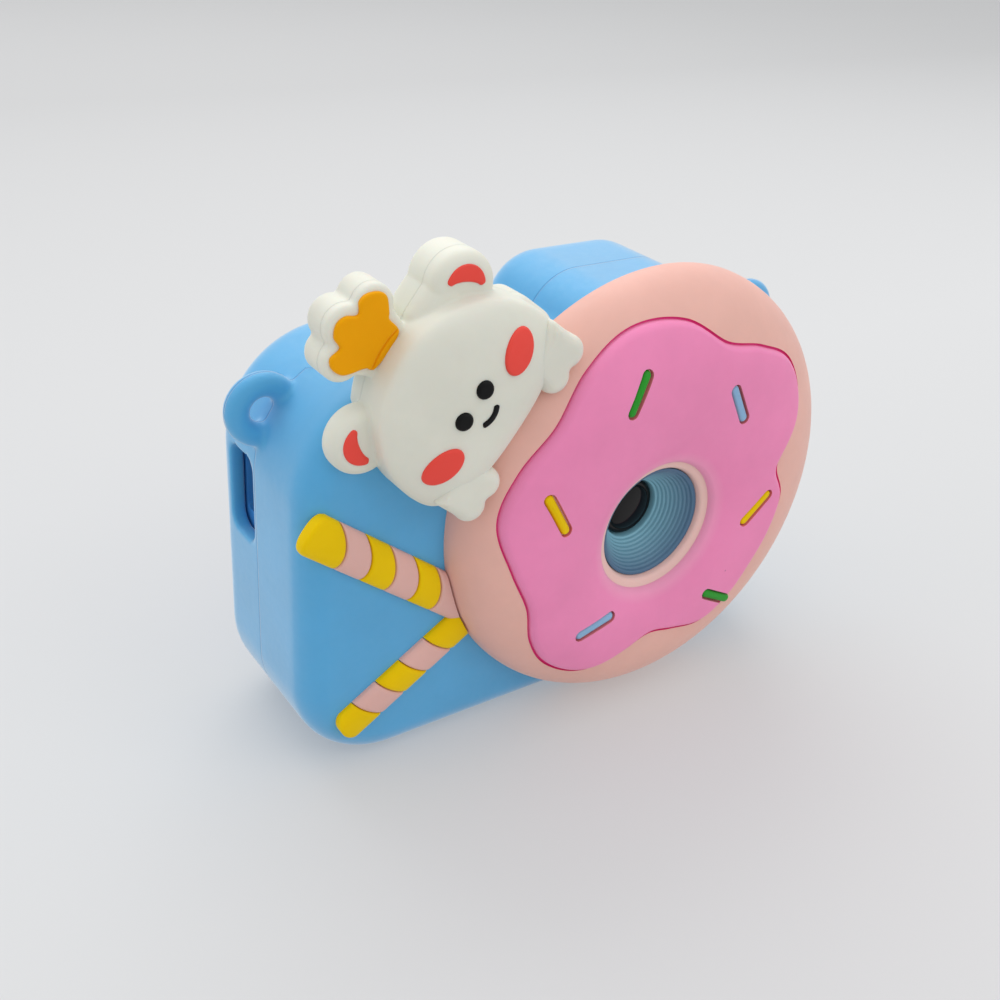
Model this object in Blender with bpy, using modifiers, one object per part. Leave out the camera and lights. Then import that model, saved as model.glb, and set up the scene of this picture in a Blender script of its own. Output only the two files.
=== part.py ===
"""Kids digital camera in a moulded silicone sleeve.

The camera stands on its flat base with the lens looking along -Y.
X runs across the camera and Z is up.  Everything is laid out in millimetres
from the sleeve's front face, and is moved at the end so that the origin is
in the middle of the base.
"""
import math

import bmesh
import bpy
from mathutils import Matrix, Vector

MM = 0.001
GAP = 0.25            # clearance where one piece sits in or against another

# ---- sleeve body -----------------------------------------------------------
LEFT_END = -45.2
RIGHT_END = 48.2
HEIGHT = 62.4
DEPTH = 29.6
BOTTOM_CORNER = 15.0
TOP_CORNER = 16.8
FRONT_ROUND = 4.5
BACK_ROUND = 5.3
SLEEVE_WALL = 2.2
BACK_LIP = 6.0        # how far the rear lip laps over the camera's back
LIP_FRONT = 28.0

HUMP_LEFT = 9.0       # raised saddle behind the ring, flat between these
HUMP_RIGHT = 21.0
HUMP_CONVEX = 9.0
HUMP_CONCAVE = 3.0
HUMP_SLOPE = math.radians(60)     # steep side, towards the bear
HUMP_FALL = math.radians(30)      # gentle side, running into the shoulder

LOOPS = {"left": (LEFT_END + 1.4, 55.2), "right": (RIGHT_END - 0.1, 55.5)}
LOOP_Y = 15.3
LOOP_MAJOR = 3.75
LOOP_MINOR = 1.85

WINDOW_FRONT = 16.3   # opening over the card and charging sockets
WINDOW_BACK = 24.0
WINDOW_LOW = 33.0
WINDOW_HIGH = 47.0
WINDOW_ROUND = 2.2

# ---- ring and icing --------------------------------------------------------
RING_X, RING_Z = 13.1, 36.9
RING_RADIUS = 36.0
RING_RISE = 9.9
LENS_X, LENS_Z = 11.1, 33.6
HOLE_RADIUS = 9.6
LIP_DROP = 2.6        # the ring falls this far from its crest to the hole
CREST = 12.6 / 26.4   # where the crest lies between rim and hole
RING_FOOT = 0.9
RING_SEAT = 1.2
ICING_RISE = 0.7
ICING_ROOT = 1.1
ICING_INNER = 10.9
# wavy edge of the icing: radius from the lens axis every 15 degrees
ICING_RADII = (25.4, 23.9, 30.2, 33.2, 31.7, 30.5, 33.8, 34.8, 33.2, 30.7, 31.0, 30.7,
               27.5, 25.5, 26.6, 27.2, 25.9, 21.8, 19.1, 20.6, 23.6, 24.3, 24.3, 25.0)
SPRINKLE_RADIUS = 0.75
SPRINKLE_SINK = 0.1
SPRINKLE_THICK = 0.55
SPRINKLES = (
    ("sprinkle_green_top", (3.2, 61.3), (1.0, 56.1), "green"),
    ("sprinkle_blue_top", (21.1, 55.7), (24.0, 50.5), "sky"),
    ("sprinkle_yellow_left", (-12.2, 45.3), (-8.9, 39.6), "yellow"),
    ("sprinkle_yellow_right", (32.9, 34.7), (28.8, 30.8), "yellow"),
    ("sprinkle_blue_bottom", (2.1, 20.7), (-3.8, 19.3), "sky"),
    ("sprinkle_green_bottom", (22.7, 18.5), (27.9, 15.8), "green"),
)

# ---- bear ------------------------------------------------------------------
BEAR_X, BEAR_Z = -23.6, 60.9      # between the eyes
BEAR_TILT = math.radians(53.1)
HEAD_HALF_WIDTH = 15.2
HEAD_MIDDLE = -3.0
HEAD_UP = 15.4
HEAD_DOWN = 6.9
HEAD_WALL = 4.2
HEAD_DOME = 4.6
HEAD_BACK = 4.0
EAR_U, EAR_V, EAR_RADIUS = 11.9, 7.9, 4.9
EAR_FRONT, EAR_ROUND = 2.2, 1.9
EAR_BACKS = {"left": 1.3, "right": 5.1}
INNER_EAR_RADIUS = 2.95
# blocks behind the head: one carries the right paw, one fills in between crown and right ear
SHOULDER = (8.0, -10.5, 16.3, 1.0)
SHOULDER_DEPTHS = (0.4, 5.1)
BROW = (2.0, 3.0, 12.5, 12.2)
BROW_DEPTHS = (0.4, 5.3)
CROWN_FRONT, CROWN_BACK = 0.75, 5.0
CROWN_BORDER = 1.15
PAW_FRONT = 7.9
CHEEK_U, CHEEK_V = 9.0, -0.2
CHEEK_LONG, CHEEK_SHORT = 3.2, 2.2
CHEEK_TILT = math.radians(12)
EYE_U, EYE_V, EYE_RADIUS = 2.45, 1.7, 1.3

# ---- striped horn and straw ------------------------------------------------
STRIPE_ROOT = 0.6
STRIPE_SEAT = 0.85
STRIPE_EDGE = 0.55
STRIPE_DOME = 0.95

# ---- camera inside ---------------------------------------------------------
HOUSING_INSET = SLEEVE_WALL + 0.3
HOUSING_WALL = 1.8
HOUSING_FRONT = 2.5
HOUSING_SEAM = 15.0
HOUSING_BACK = 27.7
FUNNEL_MOUTH = 9.0
FUNNEL_THROAT = 5.0
FUNNEL_STEPS = 10
KEY_TRAVEL = 0.6
PAD_X, PAD_Z = -27.5, 29.0
PAD_REACH = 7.5
SCREEN_X, SCREEN_Z = 12.0, 31.0
SCREEN_HALF_WIDTH, SCREEN_HALF_HEIGHT = 23.3, 17.8
SOCKET_Z = 40.0
CARD_Y = 18.2
USB_Y = 21.9

COLOURS = {
    "blue": (0.33, 0.62, 0.82),
    "cream": (0.90, 0.73, 0.68),
    "pink": (0.90, 0.53, 0.70),
    "white": (0.86, 0.86, 0.81),
    "gold": (0.88, 0.61, 0.02),
    "yellow": (0.88, 0.73, 0.02),
    "blush": (0.84, 0.66, 0.63),
    "green": (0.13, 0.56, 0.09),
    "sky": (0.56, 0.69, 0.80),
    "red": (0.91, 0.30, 0.24),
    "black": (0.05, 0.05, 0.05),
    "slate": (0.36, 0.52, 0.62),
    "teal": (0.30, 0.55, 0.70),
    "board": (0.05, 0.30, 0.16),
    "steel": (0.72, 0.73, 0.75),
    "graphite": (0.16, 0.17, 0.18),
    "key": (0.93, 0.93, 0.92),
}


# ---- scene and materials ---------------------------------------------------
for old in list(bpy.data.objects):
    bpy.data.objects.remove(old, do_unlink=True)

PARTS = bpy.data.collections.new("kids_digital_camera")
CUTTERS = bpy.data.collections.new("cutters")
bpy.context.scene.collection.children.link(PARTS)
bpy.context.scene.collection.children.link(CUTTERS)


def linear(value):
    """Turn a display colour value into a linear one."""
    if value <= 0.04045:
        return value / 12.92
    return ((value + 0.055) / 1.055) ** 2.4


def paint(obj, colour, roughness=0.55, metallic=0.0):
    """Give an object its own Principled material."""
    material = bpy.data.materials.new(obj.name + "_material")
    material.use_nodes = True
    shader = material.node_tree.nodes["Principled BSDF"]
    rgb = [linear(c) for c in COLOURS[colour]]
    shader.inputs["Base Color"].default_value = (*rgb, 1.0)
    shader.inputs["Roughness"].default_value = roughness
    shader.inputs["Metallic"].default_value = metallic
    material.diffuse_color = (*rgb, 1.0)
    obj.data.materials.clear()
    obj.data.materials.append(material)
    return obj


def as_cutter(obj):
    """Move a helper shape out of the parts."""
    for collection in list(obj.users_collection):
        collection.objects.unlink(obj)
    CUTTERS.objects.link(obj)
    obj.hide_render = True
    obj.display_type = "WIRE"
    return obj


def boolean(target, tool, operation="DIFFERENCE"):
    modifier = target.modifiers.new(operation.lower(), "BOOLEAN")
    modifier.operation = operation
    modifier.object = as_cutter(tool)
    return target


def object_from_bmesh(name, bm, origin=(0.0, 0.0, 0.0), smooth=True):
    """Finish a bmesh (in mm, world axes) as an object with its origin placed."""
    place = Vector(origin)
    bmesh.ops.recalc_face_normals(bm, faces=bm.faces)
    bmesh.ops.transform(bm, matrix=Matrix.Scale(MM, 4) @ Matrix.Translation(-place), verts=bm.verts)
    mesh = bpy.data.meshes.new(name)
    bm.to_mesh(mesh)
    bm.free()
    if smooth:
        mesh.shade_smooth()
        mesh.set_sharp_from_angle(angle=math.radians(35))
    obj = bpy.data.objects.new(name, mesh)
    obj.location = place * MM
    PARTS.objects.link(obj)
    return obj


# ---- outlines in the X-Z plane ---------------------------------------------
def arc(centre, radius, start, end, steps):
    """Points on an arc, angles in degrees."""
    points = []
    for i in range(steps + 1):
        angle = math.radians(start + (end - start) * i / steps)
        points.append((centre[0] + radius * math.cos(angle), centre[1] + radius * math.sin(angle)))
    return points


def body_outline(inset=0.0, hump=True):
    """Outline of the sleeve's body, moved inwards by inset."""
    low = BOTTOM_CORNER
    high = TOP_CORNER
    points = arc((LEFT_END + low, low), low - inset, 180, 270, 7)
    points += arc((RIGHT_END - low, low), low - inset, 270, 360, 7)
    shoulder = (RIGHT_END - high, HEIGHT - high)
    if hump:
        rise = (HUMP_CONVEX + HUMP_CONCAVE) * (1 - math.cos(HUMP_SLOPE))
        reach = (HUMP_CONVEX + HUMP_CONCAVE) * math.sin(HUMP_SLOPE)
        dip_z = HEIGHT + HUMP_CONCAVE
        top_z = HEIGHT + rise - HUMP_CONVEX
        dip = HUMP_CONCAVE + inset
        crest = HUMP_CONVEX - inset
        points += arc(shoulder, high - inset, 0, 75, 6)
        fall = arc((HUMP_RIGHT, top_z), crest, 60, 90, 3)
        foot = HUMP_CONVEX - inset * 0.05
        run = 8.6
        points.append((HUMP_RIGHT + foot * math.sin(HUMP_FALL) + run * math.cos(HUMP_FALL) - inset * 0.45,
                       top_z + foot * math.cos(HUMP_FALL) - run * math.sin(HUMP_FALL) - inset * 0.85))
        points += fall
        points += arc((HUMP_LEFT, top_z), crest, 90, 150, 5)
        points += arc((HUMP_LEFT - reach, dip_z), dip, -30, -90, 3)[1:]
    else:
        points += arc(shoulder, high - inset, 0, 90, 7)
    points += arc((LEFT_END + high, HEIGHT - high), high - inset, 90, 180, 7)
    return points


def stadium(start, end, radius, steps=8):
    """Outline of a slot with round ends."""
    angle = math.degrees(math.atan2(end[1] - start[1], end[0] - start[0]))
    return arc(end, radius, angle - 90, angle + 90, steps) + arc(start, radius, angle + 90, angle + 270, steps)


def ellipse(centre, long, short, tilt, steps=22):
    points = []
    for i in range(steps):
        angle = 2 * math.pi * i / steps
        a = long * math.cos(angle)
        b = short * math.sin(angle)
        points.append((centre[0] + a * math.cos(tilt) - b * math.sin(tilt),
                       centre[1] + a * math.sin(tilt) + b * math.cos(tilt)))
    return points


def inset(outline, distance):
    """Move a counter-clockwise outline inwards along its own normals."""
    count = len(outline)
    moved = []
    for i, (x, z) in enumerate(outline):
        before = Vector(outline[i - 1])
        after = Vector(outline[(i + 1) % count])
        along = (after - before).normalized()
        moved.append((x - along.y * distance, z + along.x * distance))
    return moved


def bear_point(u, v):
    """A point given across (u) and up (v) the tilted bear."""
    cos = math.cos(BEAR_TILT)
    sin = math.sin(BEAR_TILT)
    return (BEAR_X + u * cos - v * sin, BEAR_Z + u * sin + v * cos)


def bear_outline(points):
    return [bear_point(u, v) for u, v in points]


def smooth_closed(points, steps):
    """Smooth closed curve through the given points."""
    count = len(points)
    outline = []
    for i in range(count):
        before, start, end, after = (Vector(points[(i + k) % count]) for k in (-1, 0, 1, 2))
        for step in range(steps):
            t = step / steps
            outline.append(0.5 * (2 * start + (end - before) * t
                                  + (2 * before - 5 * start + 4 * end - after) * t ** 2
                                  + (3 * start - before - 3 * end + after) * t ** 3))
    return [(q.x, q.y) for q in outline]


def union_outline(centre, circles, polygon, border, steps):
    """Outline of overlapping circles and a polygon, seen from one centre."""
    outline = []
    for i in range(steps):
        angle = 2 * math.pi * i / steps
        ray = Vector((math.cos(angle), math.sin(angle)))
        reach = 0.0
        for cu, cv, radius in circles:
            offset = Vector((cu - centre[0], cv - centre[1]))
            along = offset.dot(ray)
            miss = offset.length_squared - along * along
            if miss < (radius + border) ** 2:
                reach = max(reach, along + math.sqrt((radius + border) ** 2 - miss))
        for j, corner in enumerate(polygon):
            start = Vector(corner) - Vector(centre)
            side = Vector(polygon[(j + 1) % len(polygon)]) - Vector(corner)
            cross = ray.x * side.y - ray.y * side.x
            if abs(cross) > 1e-9:
                distance = (start.x * side.y - start.y * side.x) / cross
                part = (start.x * ray.y - start.y * ray.x) / cross
                if distance > 0 and 0 <= part <= 1:
                    reach = max(reach, distance + border)
        outline.append((centre[0] + reach * ray.x, centre[1] + reach * ray.y))
    return outline


# ---- curved fronts that smaller pieces follow ------------------------------
def ring_depth(x, z):
    """How far the ring stands proud of the body at a point."""
    q = Vector((x - RING_X, z - RING_Z))
    shift = Vector((LENS_X - RING_X, LENS_Z - RING_Z))
    narrow = HOLE_RADIUS - RING_RADIUS
    a = shift.length_squared - narrow * narrow
    b = -2 * (q.dot(shift) + RING_RADIUS * narrow)
    c = q.length_squared - RING_RADIUS ** 2
    s = (-b - math.sqrt(max(b * b - 4 * a * c, 0.0))) / (2 * a)
    if not -0.3 < s < 1.4:
        s = (-b + math.sqrt(max(b * b - 4 * a * c, 0.0))) / (2 * a)
    return ring_profile(min(max(s, 0.0), 1.0))


def ring_profile(s):
    """Height of the ring from its rim (s = 0) to its hole (s = 1)."""
    if s < CREST:
        return RING_RISE * math.sqrt(1 - ((CREST - s) / CREST) ** 2)
    return RING_RISE - LIP_DROP * ((s - CREST) / (1 - CREST)) ** 3


def icing_top(x, z):
    return ring_depth(x, z) + ICING_RISE


def head_depth(x, z):
    """Height of the bear's domed face at a point."""
    dx = x - BEAR_X
    dz = z - BEAR_Z
    u = dx * math.cos(BEAR_TILT) + dz * math.sin(BEAR_TILT)
    v = dz * math.cos(BEAR_TILT) - dx * math.sin(BEAR_TILT) - HEAD_MIDDLE
    s = math.hypot(u / HEAD_HALF_WIDTH, v / (HEAD_UP if v > 0 else HEAD_DOWN))
    return HEAD_WALL + HEAD_DOME * math.sqrt(max(1 - s ** 2.6, 0.0))


# ---- solids ----------------------------------------------------------------
def plate(name, outline, front, back, round_front=0.0, round_back=0.0, segments=4):
    """Flat outline in X-Z between two depths, with rounded rims."""
    curve = bpy.data.curves.new(name, "CURVE")
    curve.dimensions = "2D"
    curve.fill_mode = "BOTH"
    curve.extrude = (back - front) / 2 * MM
    spline = curve.splines.new("POLY")
    spline.points.add(len(outline) - 1)
    for point, (x, z) in zip(spline.points, outline):
        point.co = (x * MM, z * MM, 0.0, 1.0)
    spline.use_cyclic_u = True
    guide = bpy.data.objects.new(name + "_curve", curve)
    PARTS.objects.link(guide)
    bpy.context.view_layer.update()
    graph = bpy.context.evaluated_depsgraph_get()
    mesh = bpy.data.meshes.new_from_object(guide.evaluated_get(graph))
    bm = bmesh.new()
    bm.from_mesh(mesh)
    bpy.data.meshes.remove(mesh)
    bpy.data.objects.remove(guide, do_unlink=True)
    bmesh.ops.remove_doubles(bm, verts=bm.verts, dist=1e-6)
    upright = Matrix.Translation((0, (front + back) / 2, 0)) @ Matrix.Rotation(math.radians(90), 4, "X")
    bmesh.ops.transform(bm, matrix=upright @ Matrix.Scale(1 / MM, 4), verts=bm.verts)
    bmesh.ops.recalc_face_normals(bm, faces=bm.faces)
    for sign in (-1, 1):
        cap = [f for f in bm.faces if f.normal.y * sign > 0.9]
        if len(cap) > 1:
            bmesh.ops.dissolve_faces(bm, faces=cap)
    largest = max(round_front, round_back)
    if largest > 0:
        weights = bm.edges.layers.float.new("bevel_weight_edge")
        for edge in bm.edges:
            depths = [v.co.y for v in edge.verts]
            if max(depths) - min(depths) < 1e-3:
                at_front = abs(depths[0] - front) < 1e-3
                edge[weights] = (round_front if at_front else round_back) / largest
    obj = object_from_bmesh(name, bm)
    if largest > 0:
        bevel = obj.modifiers.new("rim", "BEVEL")
        bevel.limit_method = "WEIGHT"
        bevel.width = largest * MM
        bevel.segments = segments
        bevel.use_clamp_overlap = False
    return obj


def loft(name, rings, origin=(0, 0, 0)):
    """Solid through closed rings of equal point count, capped at both ends."""
    bm = bmesh.new()
    loops = [[bm.verts.new(point) for point in ring] for ring in rings]
    count = len(rings[0])
    for low, high in zip(loops, loops[1:]):
        for i in range(count):
            j = (i + 1) % count
            bm.faces.new((low[i], low[j], high[j], high[i]))
    bm.faces.new(list(reversed(loops[0])))
    bm.faces.new(loops[-1])
    return object_from_bmesh(name, bm, origin)


def closed_loft(name, sections, origin=(0, 0, 0)):
    """Ring-shaped solid swept through closed cross sections."""
    bm = bmesh.new()
    loops = [[bm.verts.new(point) for point in section] for section in sections]
    count = len(sections[0])
    for n, here in enumerate(loops):
        there = loops[(n + 1) % len(loops)]
        for i in range(count):
            j = (i + 1) % count
            bm.faces.new((here[i], here[j], there[j], there[i]))
    return object_from_bmesh(name, bm, origin)


def cushion(name, outline, back, front, edge, surface=None, rings=4, fill=(0.5,)):
    """Outline with a flat back and a rounded front rim, draped over a curved surface if given."""
    centre = Vector((sum(p[0] for p in outline) / len(outline), sum(p[1] for p in outline) / len(outline)))
    lift = surface or (lambda x, z: 0.0)
    root = max(back - lift(x, z) for x, z in outline)
    levels = [[(x, root, z) for x, z in outline]]
    for i in range(rings + 1):
        angle = math.pi / 2 * i / rings
        shrunk = inset(outline, edge * (1 - math.cos(angle)))
        depth = front + edge * (1 - math.sin(angle))
        levels.append([(x, depth - lift(x, z), z) for x, z in shrunk])
    inner = inset(outline, edge)
    for scale in fill:
        ring = []
        for x, z in inner:
            px = centre.x + (x - centre.x) * scale
            pz = centre.y + (z - centre.y) * scale
            ring.append((px, front - lift(px, pz), pz))
        levels.append(ring)
    middle = (centre.x, 0.0, centre.y)
    return loft(name, levels, middle)


def seat(name, outline, surface, clearance=GAP, sink=0.7):
    """Straight-walled pocket with a flat floor for a cushion of the same outline."""
    floor = max(sink - surface(x, z) for x, z in outline) + GAP
    return plate(name, inset(outline, -clearance), -RING_RISE - 6, floor)


def turned(name, profile, centre, axis="-Y", steps=32):
    """Profile (radius, height along the axis) turned with a Screw modifier."""
    bm = bmesh.new()
    points = [bm.verts.new((r * MM, 0.0, h * MM)) for r, h in profile]
    for here, there in zip(points, points[1:]):
        bm.edges.new((here, there))
    if profile[0][0] > 0 and profile[-1][0] > 0:
        bm.edges.new((points[-1], points[0]))
    mesh = bpy.data.meshes.new(name)
    bm.to_mesh(mesh)
    bm.free()
    obj = bpy.data.objects.new(name, mesh)
    PARTS.objects.link(obj)
    obj.location = Vector(centre) * MM
    turns = {"-Y": (90, 0, 0), "+Y": (-90, 0, 0), "+Z": (0, 0, 0), "-X": (0, -90, 0)}
    obj.rotation_euler = [math.radians(a) for a in turns[axis]]
    screw = obj.modifiers.new("turn", "SCREW")
    screw.steps = steps
    screw.render_steps = steps
    screw.use_merge_vertices = True
    screw.merge_threshold = 0.00001
    screw.use_smooth_shade = True
    return obj


def box(name, low, high, edge=0.0, segments=2):
    """Box between two corners, with its edges rounded."""
    bm = bmesh.new()
    bmesh.ops.create_cube(bm, size=1.0)
    size = Vector(high) - Vector(low)
    middle = (Vector(high) + Vector(low)) / 2
    bmesh.ops.transform(bm, matrix=Matrix.Translation(middle) @ Matrix.Diagonal((*size, 1.0)), verts=bm.verts)
    obj = object_from_bmesh(name, bm, middle, smooth=False)
    if edge > 0:
        bevel = obj.modifiers.new("edges", "BEVEL")
        bevel.width = edge * MM
        bevel.segments = segments
    return obj


def cylinder(name, centre, radius, start, end, axis="Y", steps=40):
    """Plain cylinder along an axis between two positions."""
    bm = bmesh.new()
    bmesh.ops.create_cone(bm, cap_ends=True, segments=steps, radius1=radius, radius2=radius, depth=end - start)
    turn = {"Y": Matrix.Rotation(math.radians(90), 4, "X"), "Z": Matrix.Identity(4),
            "X": Matrix.Rotation(math.radians(90), 4, "Y")}[axis]
    middle = (start + end) / 2
    place = {"Y": (centre[0], middle, centre[1]), "Z": (centre[0], centre[1], middle),
             "X": (middle, centre[0], centre[1])}[axis]
    bmesh.ops.transform(bm, matrix=Matrix.Translation(place) @ turn, verts=bm.verts)
    return object_from_bmesh(name, bm, place)


def ring_solid(name, grow=0.0, foot=RING_FOOT, steps=52):
    """The ring, whose hole is off its middle, with an optional growth."""
    radius = RING_RADIUS + grow
    hole = HOLE_RADIUS - grow
    crest_steps = 5
    sections = []
    for i in range(steps):
        angle = 2 * math.pi * i / steps
        ray = Vector((math.cos(angle), math.sin(angle)))
        rim = Vector((RING_X, RING_Z)) + ray * radius
        bore = Vector((LENS_X, LENS_Z)) + ray * hole
        section = [(rim, foot + grow)]
        for k in range(crest_steps):
            turn = math.pi / 2 * k / crest_steps
            s = CREST * (1 - math.cos(turn))
            section.append((rim.lerp(bore, s), -RING_RISE * math.sin(turn) - grow))
        for s in (CREST, 0.68, 0.84, 0.97):
            section.append((rim.lerp(bore, s), -ring_profile(s) - grow))
        section.append((bore, -ring_profile(1.0) + 0.7 - grow))
        section.append((bore, foot + grow))
        sections.append([(p.x, depth, p.y) for p, depth in section])
    return closed_loft(name, sections, (RING_X, 0, RING_Z))


def icing_edge(angle):
    """Radius of the icing's wavy edge, smooth through its given radii."""
    count = len(ICING_RADII)
    place = (angle / (2 * math.pi) * count) % count
    i = int(place)
    t = place - i
    p0, p1, p2, p3 = (ICING_RADII[(i + k) % count] for k in (-1, 0, 1, 2))
    return p1 + 0.5 * t * (p2 - p0 + t * (2 * p0 - 5 * p1 + 4 * p2 - p3 + t * (3 * (p1 - p2) + p3 - p0)))


def icing_solid(name, grow=0.0, root=ICING_ROOT, rise=ICING_RISE, steps=72):
    """Icing that follows the ring, with rounded inner and outer edges."""
    sections = []
    for i in range(steps):
        angle = 2 * math.pi * i / steps
        inner = ICING_INNER - grow
        outer = icing_edge(angle) + grow
        width = outer - inner
        top = [(inner, 0.1), (inner + 0.35, rise - 0.2), (inner + 1.0, rise)]
        top += [(inner + width * f, rise) for f in (0.35, 0.65)]
        top += [(outer - 1.0, rise), (outer - 0.35, rise - 0.2), (outer, 0.1)]
        under = [(inner + width * f, -root) for f in (1.0, 0.75, 0.4, 0.0)]
        section = []
        for radius, lift in top + under:
            x = LENS_X + radius * math.cos(angle)
            z = LENS_Z + radius * math.sin(angle)
            section.append((x, -ring_depth(x, z) - lift, z))
        sections.append(section)
    return closed_loft(name, sections, (LENS_X, 0, LENS_Z))


# ---- sleeve ----------------------------------------------------------------
sleeve = paint(plate("silicone_sleeve", body_outline(), 0, DEPTH, FRONT_ROUND, BACK_ROUND, 4), "blue", 0.6)
for label, (loop_x, loop_z) in LOOPS.items():
    bpy.ops.mesh.primitive_torus_add(major_radius=LOOP_MAJOR * MM, minor_radius=LOOP_MINOR * MM,
                                     major_segments=22, minor_segments=10)
    loop = bpy.context.active_object
    loop.name = "strap_loop_" + label
    loop.rotation_euler = (math.radians(90), 0, 0)
    loop.location = (loop_x * MM, LOOP_Y * MM, loop_z * MM)
    boolean(sleeve, loop, "UNION")
boolean(sleeve, plate("cavity", body_outline(SLEEVE_WALL, False), SLEEVE_WALL, LIP_FRONT, 1.5, 0.8, 2))
boolean(sleeve, plate("back_opening", body_outline(BACK_LIP, False), LIP_FRONT - 1, DEPTH + 3))
boolean(sleeve, cylinder("ring_seat", (RING_X, RING_Z), RING_RADIUS + GAP, -2, RING_SEAT, steps=56))
boolean(sleeve, cylinder("lens_hole", (LENS_X, LENS_Z), HOLE_RADIUS, -2, SLEEVE_WALL + 1, steps=32))
boolean(sleeve, box("socket_window", (LEFT_END - 5, WINDOW_FRONT, WINDOW_LOW),
                    (LEFT_END + 4, WINDOW_BACK, WINDOW_HIGH), WINDOW_ROUND, 4))

SHUTTER_X, POWER_X, TOP_KEY_Y = -12.5, -25.0, 9.6
SHUTTER_RADIUS, POWER_RADIUS = 3.6, 2.4
for label, x, radius in (("shutter", SHUTTER_X, SHUTTER_RADIUS), ("power", POWER_X, POWER_RADIUS)):
    boolean(sleeve, cylinder(label + "_window", (x, TOP_KEY_Y), radius + 0.6, HEIGHT - 4, HEIGHT + 2, "Z", 28))


# ---- ring, icing and sprinkles ---------------------------------------------
ring = paint(ring_solid("donut_ring"), "cream", 0.6)
boolean(ring, icing_solid("icing_seat", GAP, ICING_ROOT + GAP, 3.0))
icing = paint(icing_solid("donut_icing"), "pink", 0.55)
for name, start, end, colour in SPRINKLES:
    line = stadium(start, end, SPRINKLE_RADIUS, 4)
    boolean(icing, seat(name + "_slot", line, icing_top, GAP, SPRINKLE_THICK))
    grain = cushion(name, line, SPRINKLE_THICK, SPRINKLE_SINK, 0.4, icing_top, 2, ())
    paint(grain, colour, 0.5)


# ---- bear ------------------------------------------------------------------
def head_ring(scale, depth, grow=0.0, steps=44):
    points = []
    for i in range(steps):
        angle = 2 * math.pi * i / steps
        up = HEAD_UP if math.sin(angle) > 0 else HEAD_DOWN
        u = (HEAD_HALF_WIDTH + grow) * scale * math.cos(angle)
        v = HEAD_MIDDLE + (up + grow) * scale * math.sin(angle)
        x, z = bear_point(u, v)
        points.append((x, depth, z))
    return points


def head_solid(name, grow=0.0):
    rings = [head_ring(0.955, HEAD_BACK + grow, grow), head_ring(1.0, HEAD_BACK - 0.8, grow)]
    for k in range(6):
        turn = math.radians(82) * k / 5
        rings.append(head_ring(math.cos(turn) ** 0.77, -HEAD_WALL - HEAD_DOME * math.sin(turn) - grow, grow))
    return loft(name, rings)


def sleeve_block(name, grow=GAP):
    """The sleeve's outside as a solid block, slightly grown."""
    return plate(name, body_outline(-grow), -grow, DEPTH, FRONT_ROUND, 0, 5)


CROWN_CENTRE = (-0.3, 15.4)
CROWN_LOBES = ((-4.4, 16.8, 1.7), (-0.5, 18.8, 1.95), (3.7, 17.3, 1.7))
CROWN_BAND = ((-3.2, 12.1), (2.7, 12.1), (3.9, 15.9), (-4.4, 15.9))
# gold outline, counter-clockwise from the foot
CROWN_LINE = ((-3.2, 12.6), (-1.3, 12.15), (0.9, 12.1), (2.8, 12.6), (3.3, 14.7), (4.1, 15.4), (5.5, 16.9),
              (5.4, 18.3), (4.3, 19.55), (3.0, 19.75), (1.6, 19.0), (0.6, 20.4), (-0.8, 20.9), (-2.4, 20.1),
              (-3.1, 18.6), (-4.8, 18.95), (-5.8, 18.0), (-5.9, 16.4), (-5.2, 15.3), (-4.2, 14.4), (-3.5, 13.6))
CROWN_SEAM_CENTRE = (-0.1, 2.9)
CROWN_SEAM_RADIUS = 10.46

head = paint(head_solid("bear_head"), "white", 0.6)
for side, label in ((-1, "left"), (1, "right")):
    rim = arc(bear_point(side * EAR_U, EAR_V), EAR_RADIUS, 0, 342, 19)
    boolean(head, plate("ear_" + label, rim, -EAR_FRONT, EAR_BACKS[label], EAR_ROUND, 0.6, 3), "UNION")
for label, limits, depths in (("shoulder", SHOULDER, SHOULDER_DEPTHS), ("brow", BROW, BROW_DEPTHS)):
    low_u, low_v, high_u, high_v = limits
    block = arc((high_u - 3.5, high_v - 3.5), 3.5, 0, 90, 4)
    block += arc((low_u + 3.5, high_v - 3.5), 3.5, 90, 180, 4)
    block += arc((low_u + 3.5, low_v + 3.5), 3.5, 180, 270, 4)
    block += arc((high_u - 3.5, low_v + 3.5), 3.5, 270, 360, 4)
    boolean(head, plate(label, bear_outline(block), depths[0], depths[1], 1.2, 0.6, 2), "UNION")
backing = bear_outline(union_outline(CROWN_CENTRE, CROWN_LOBES, CROWN_BAND, CROWN_BORDER, 40))
boolean(head, plate("crown_backing", backing, -CROWN_FRONT, CROWN_BACK, 0.8, 0.5, 2), "UNION")
boolean(head, sleeve_block("sleeve_block_head"))
boolean(head, ring_solid("ring_block_head", GAP))

crown_line = bear_outline(smooth_closed(CROWN_LINE, 3))
boolean(head, plate("crown_seat", inset(crown_line, -GAP), -CROWN_FRONT - 8, -CROWN_FRONT + 0.9))
crown = paint(cushion("bear_crown", crown_line, -CROWN_FRONT + 0.65, -CROWN_FRONT - 0.6, 0.35, None, 2, ()),
              "gold", 0.5)
seam = arc(CROWN_SEAM_CENTRE, CROWN_SEAM_RADIUS + 0.14, 62, 118, 8)
seam += arc(CROWN_SEAM_CENTRE, CROWN_SEAM_RADIUS - 0.14, 118, 62, 8)
boolean(crown, plate("crown_seam", bear_outline(seam), -CROWN_FRONT - 2, -CROWN_FRONT - 0.25))

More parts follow.
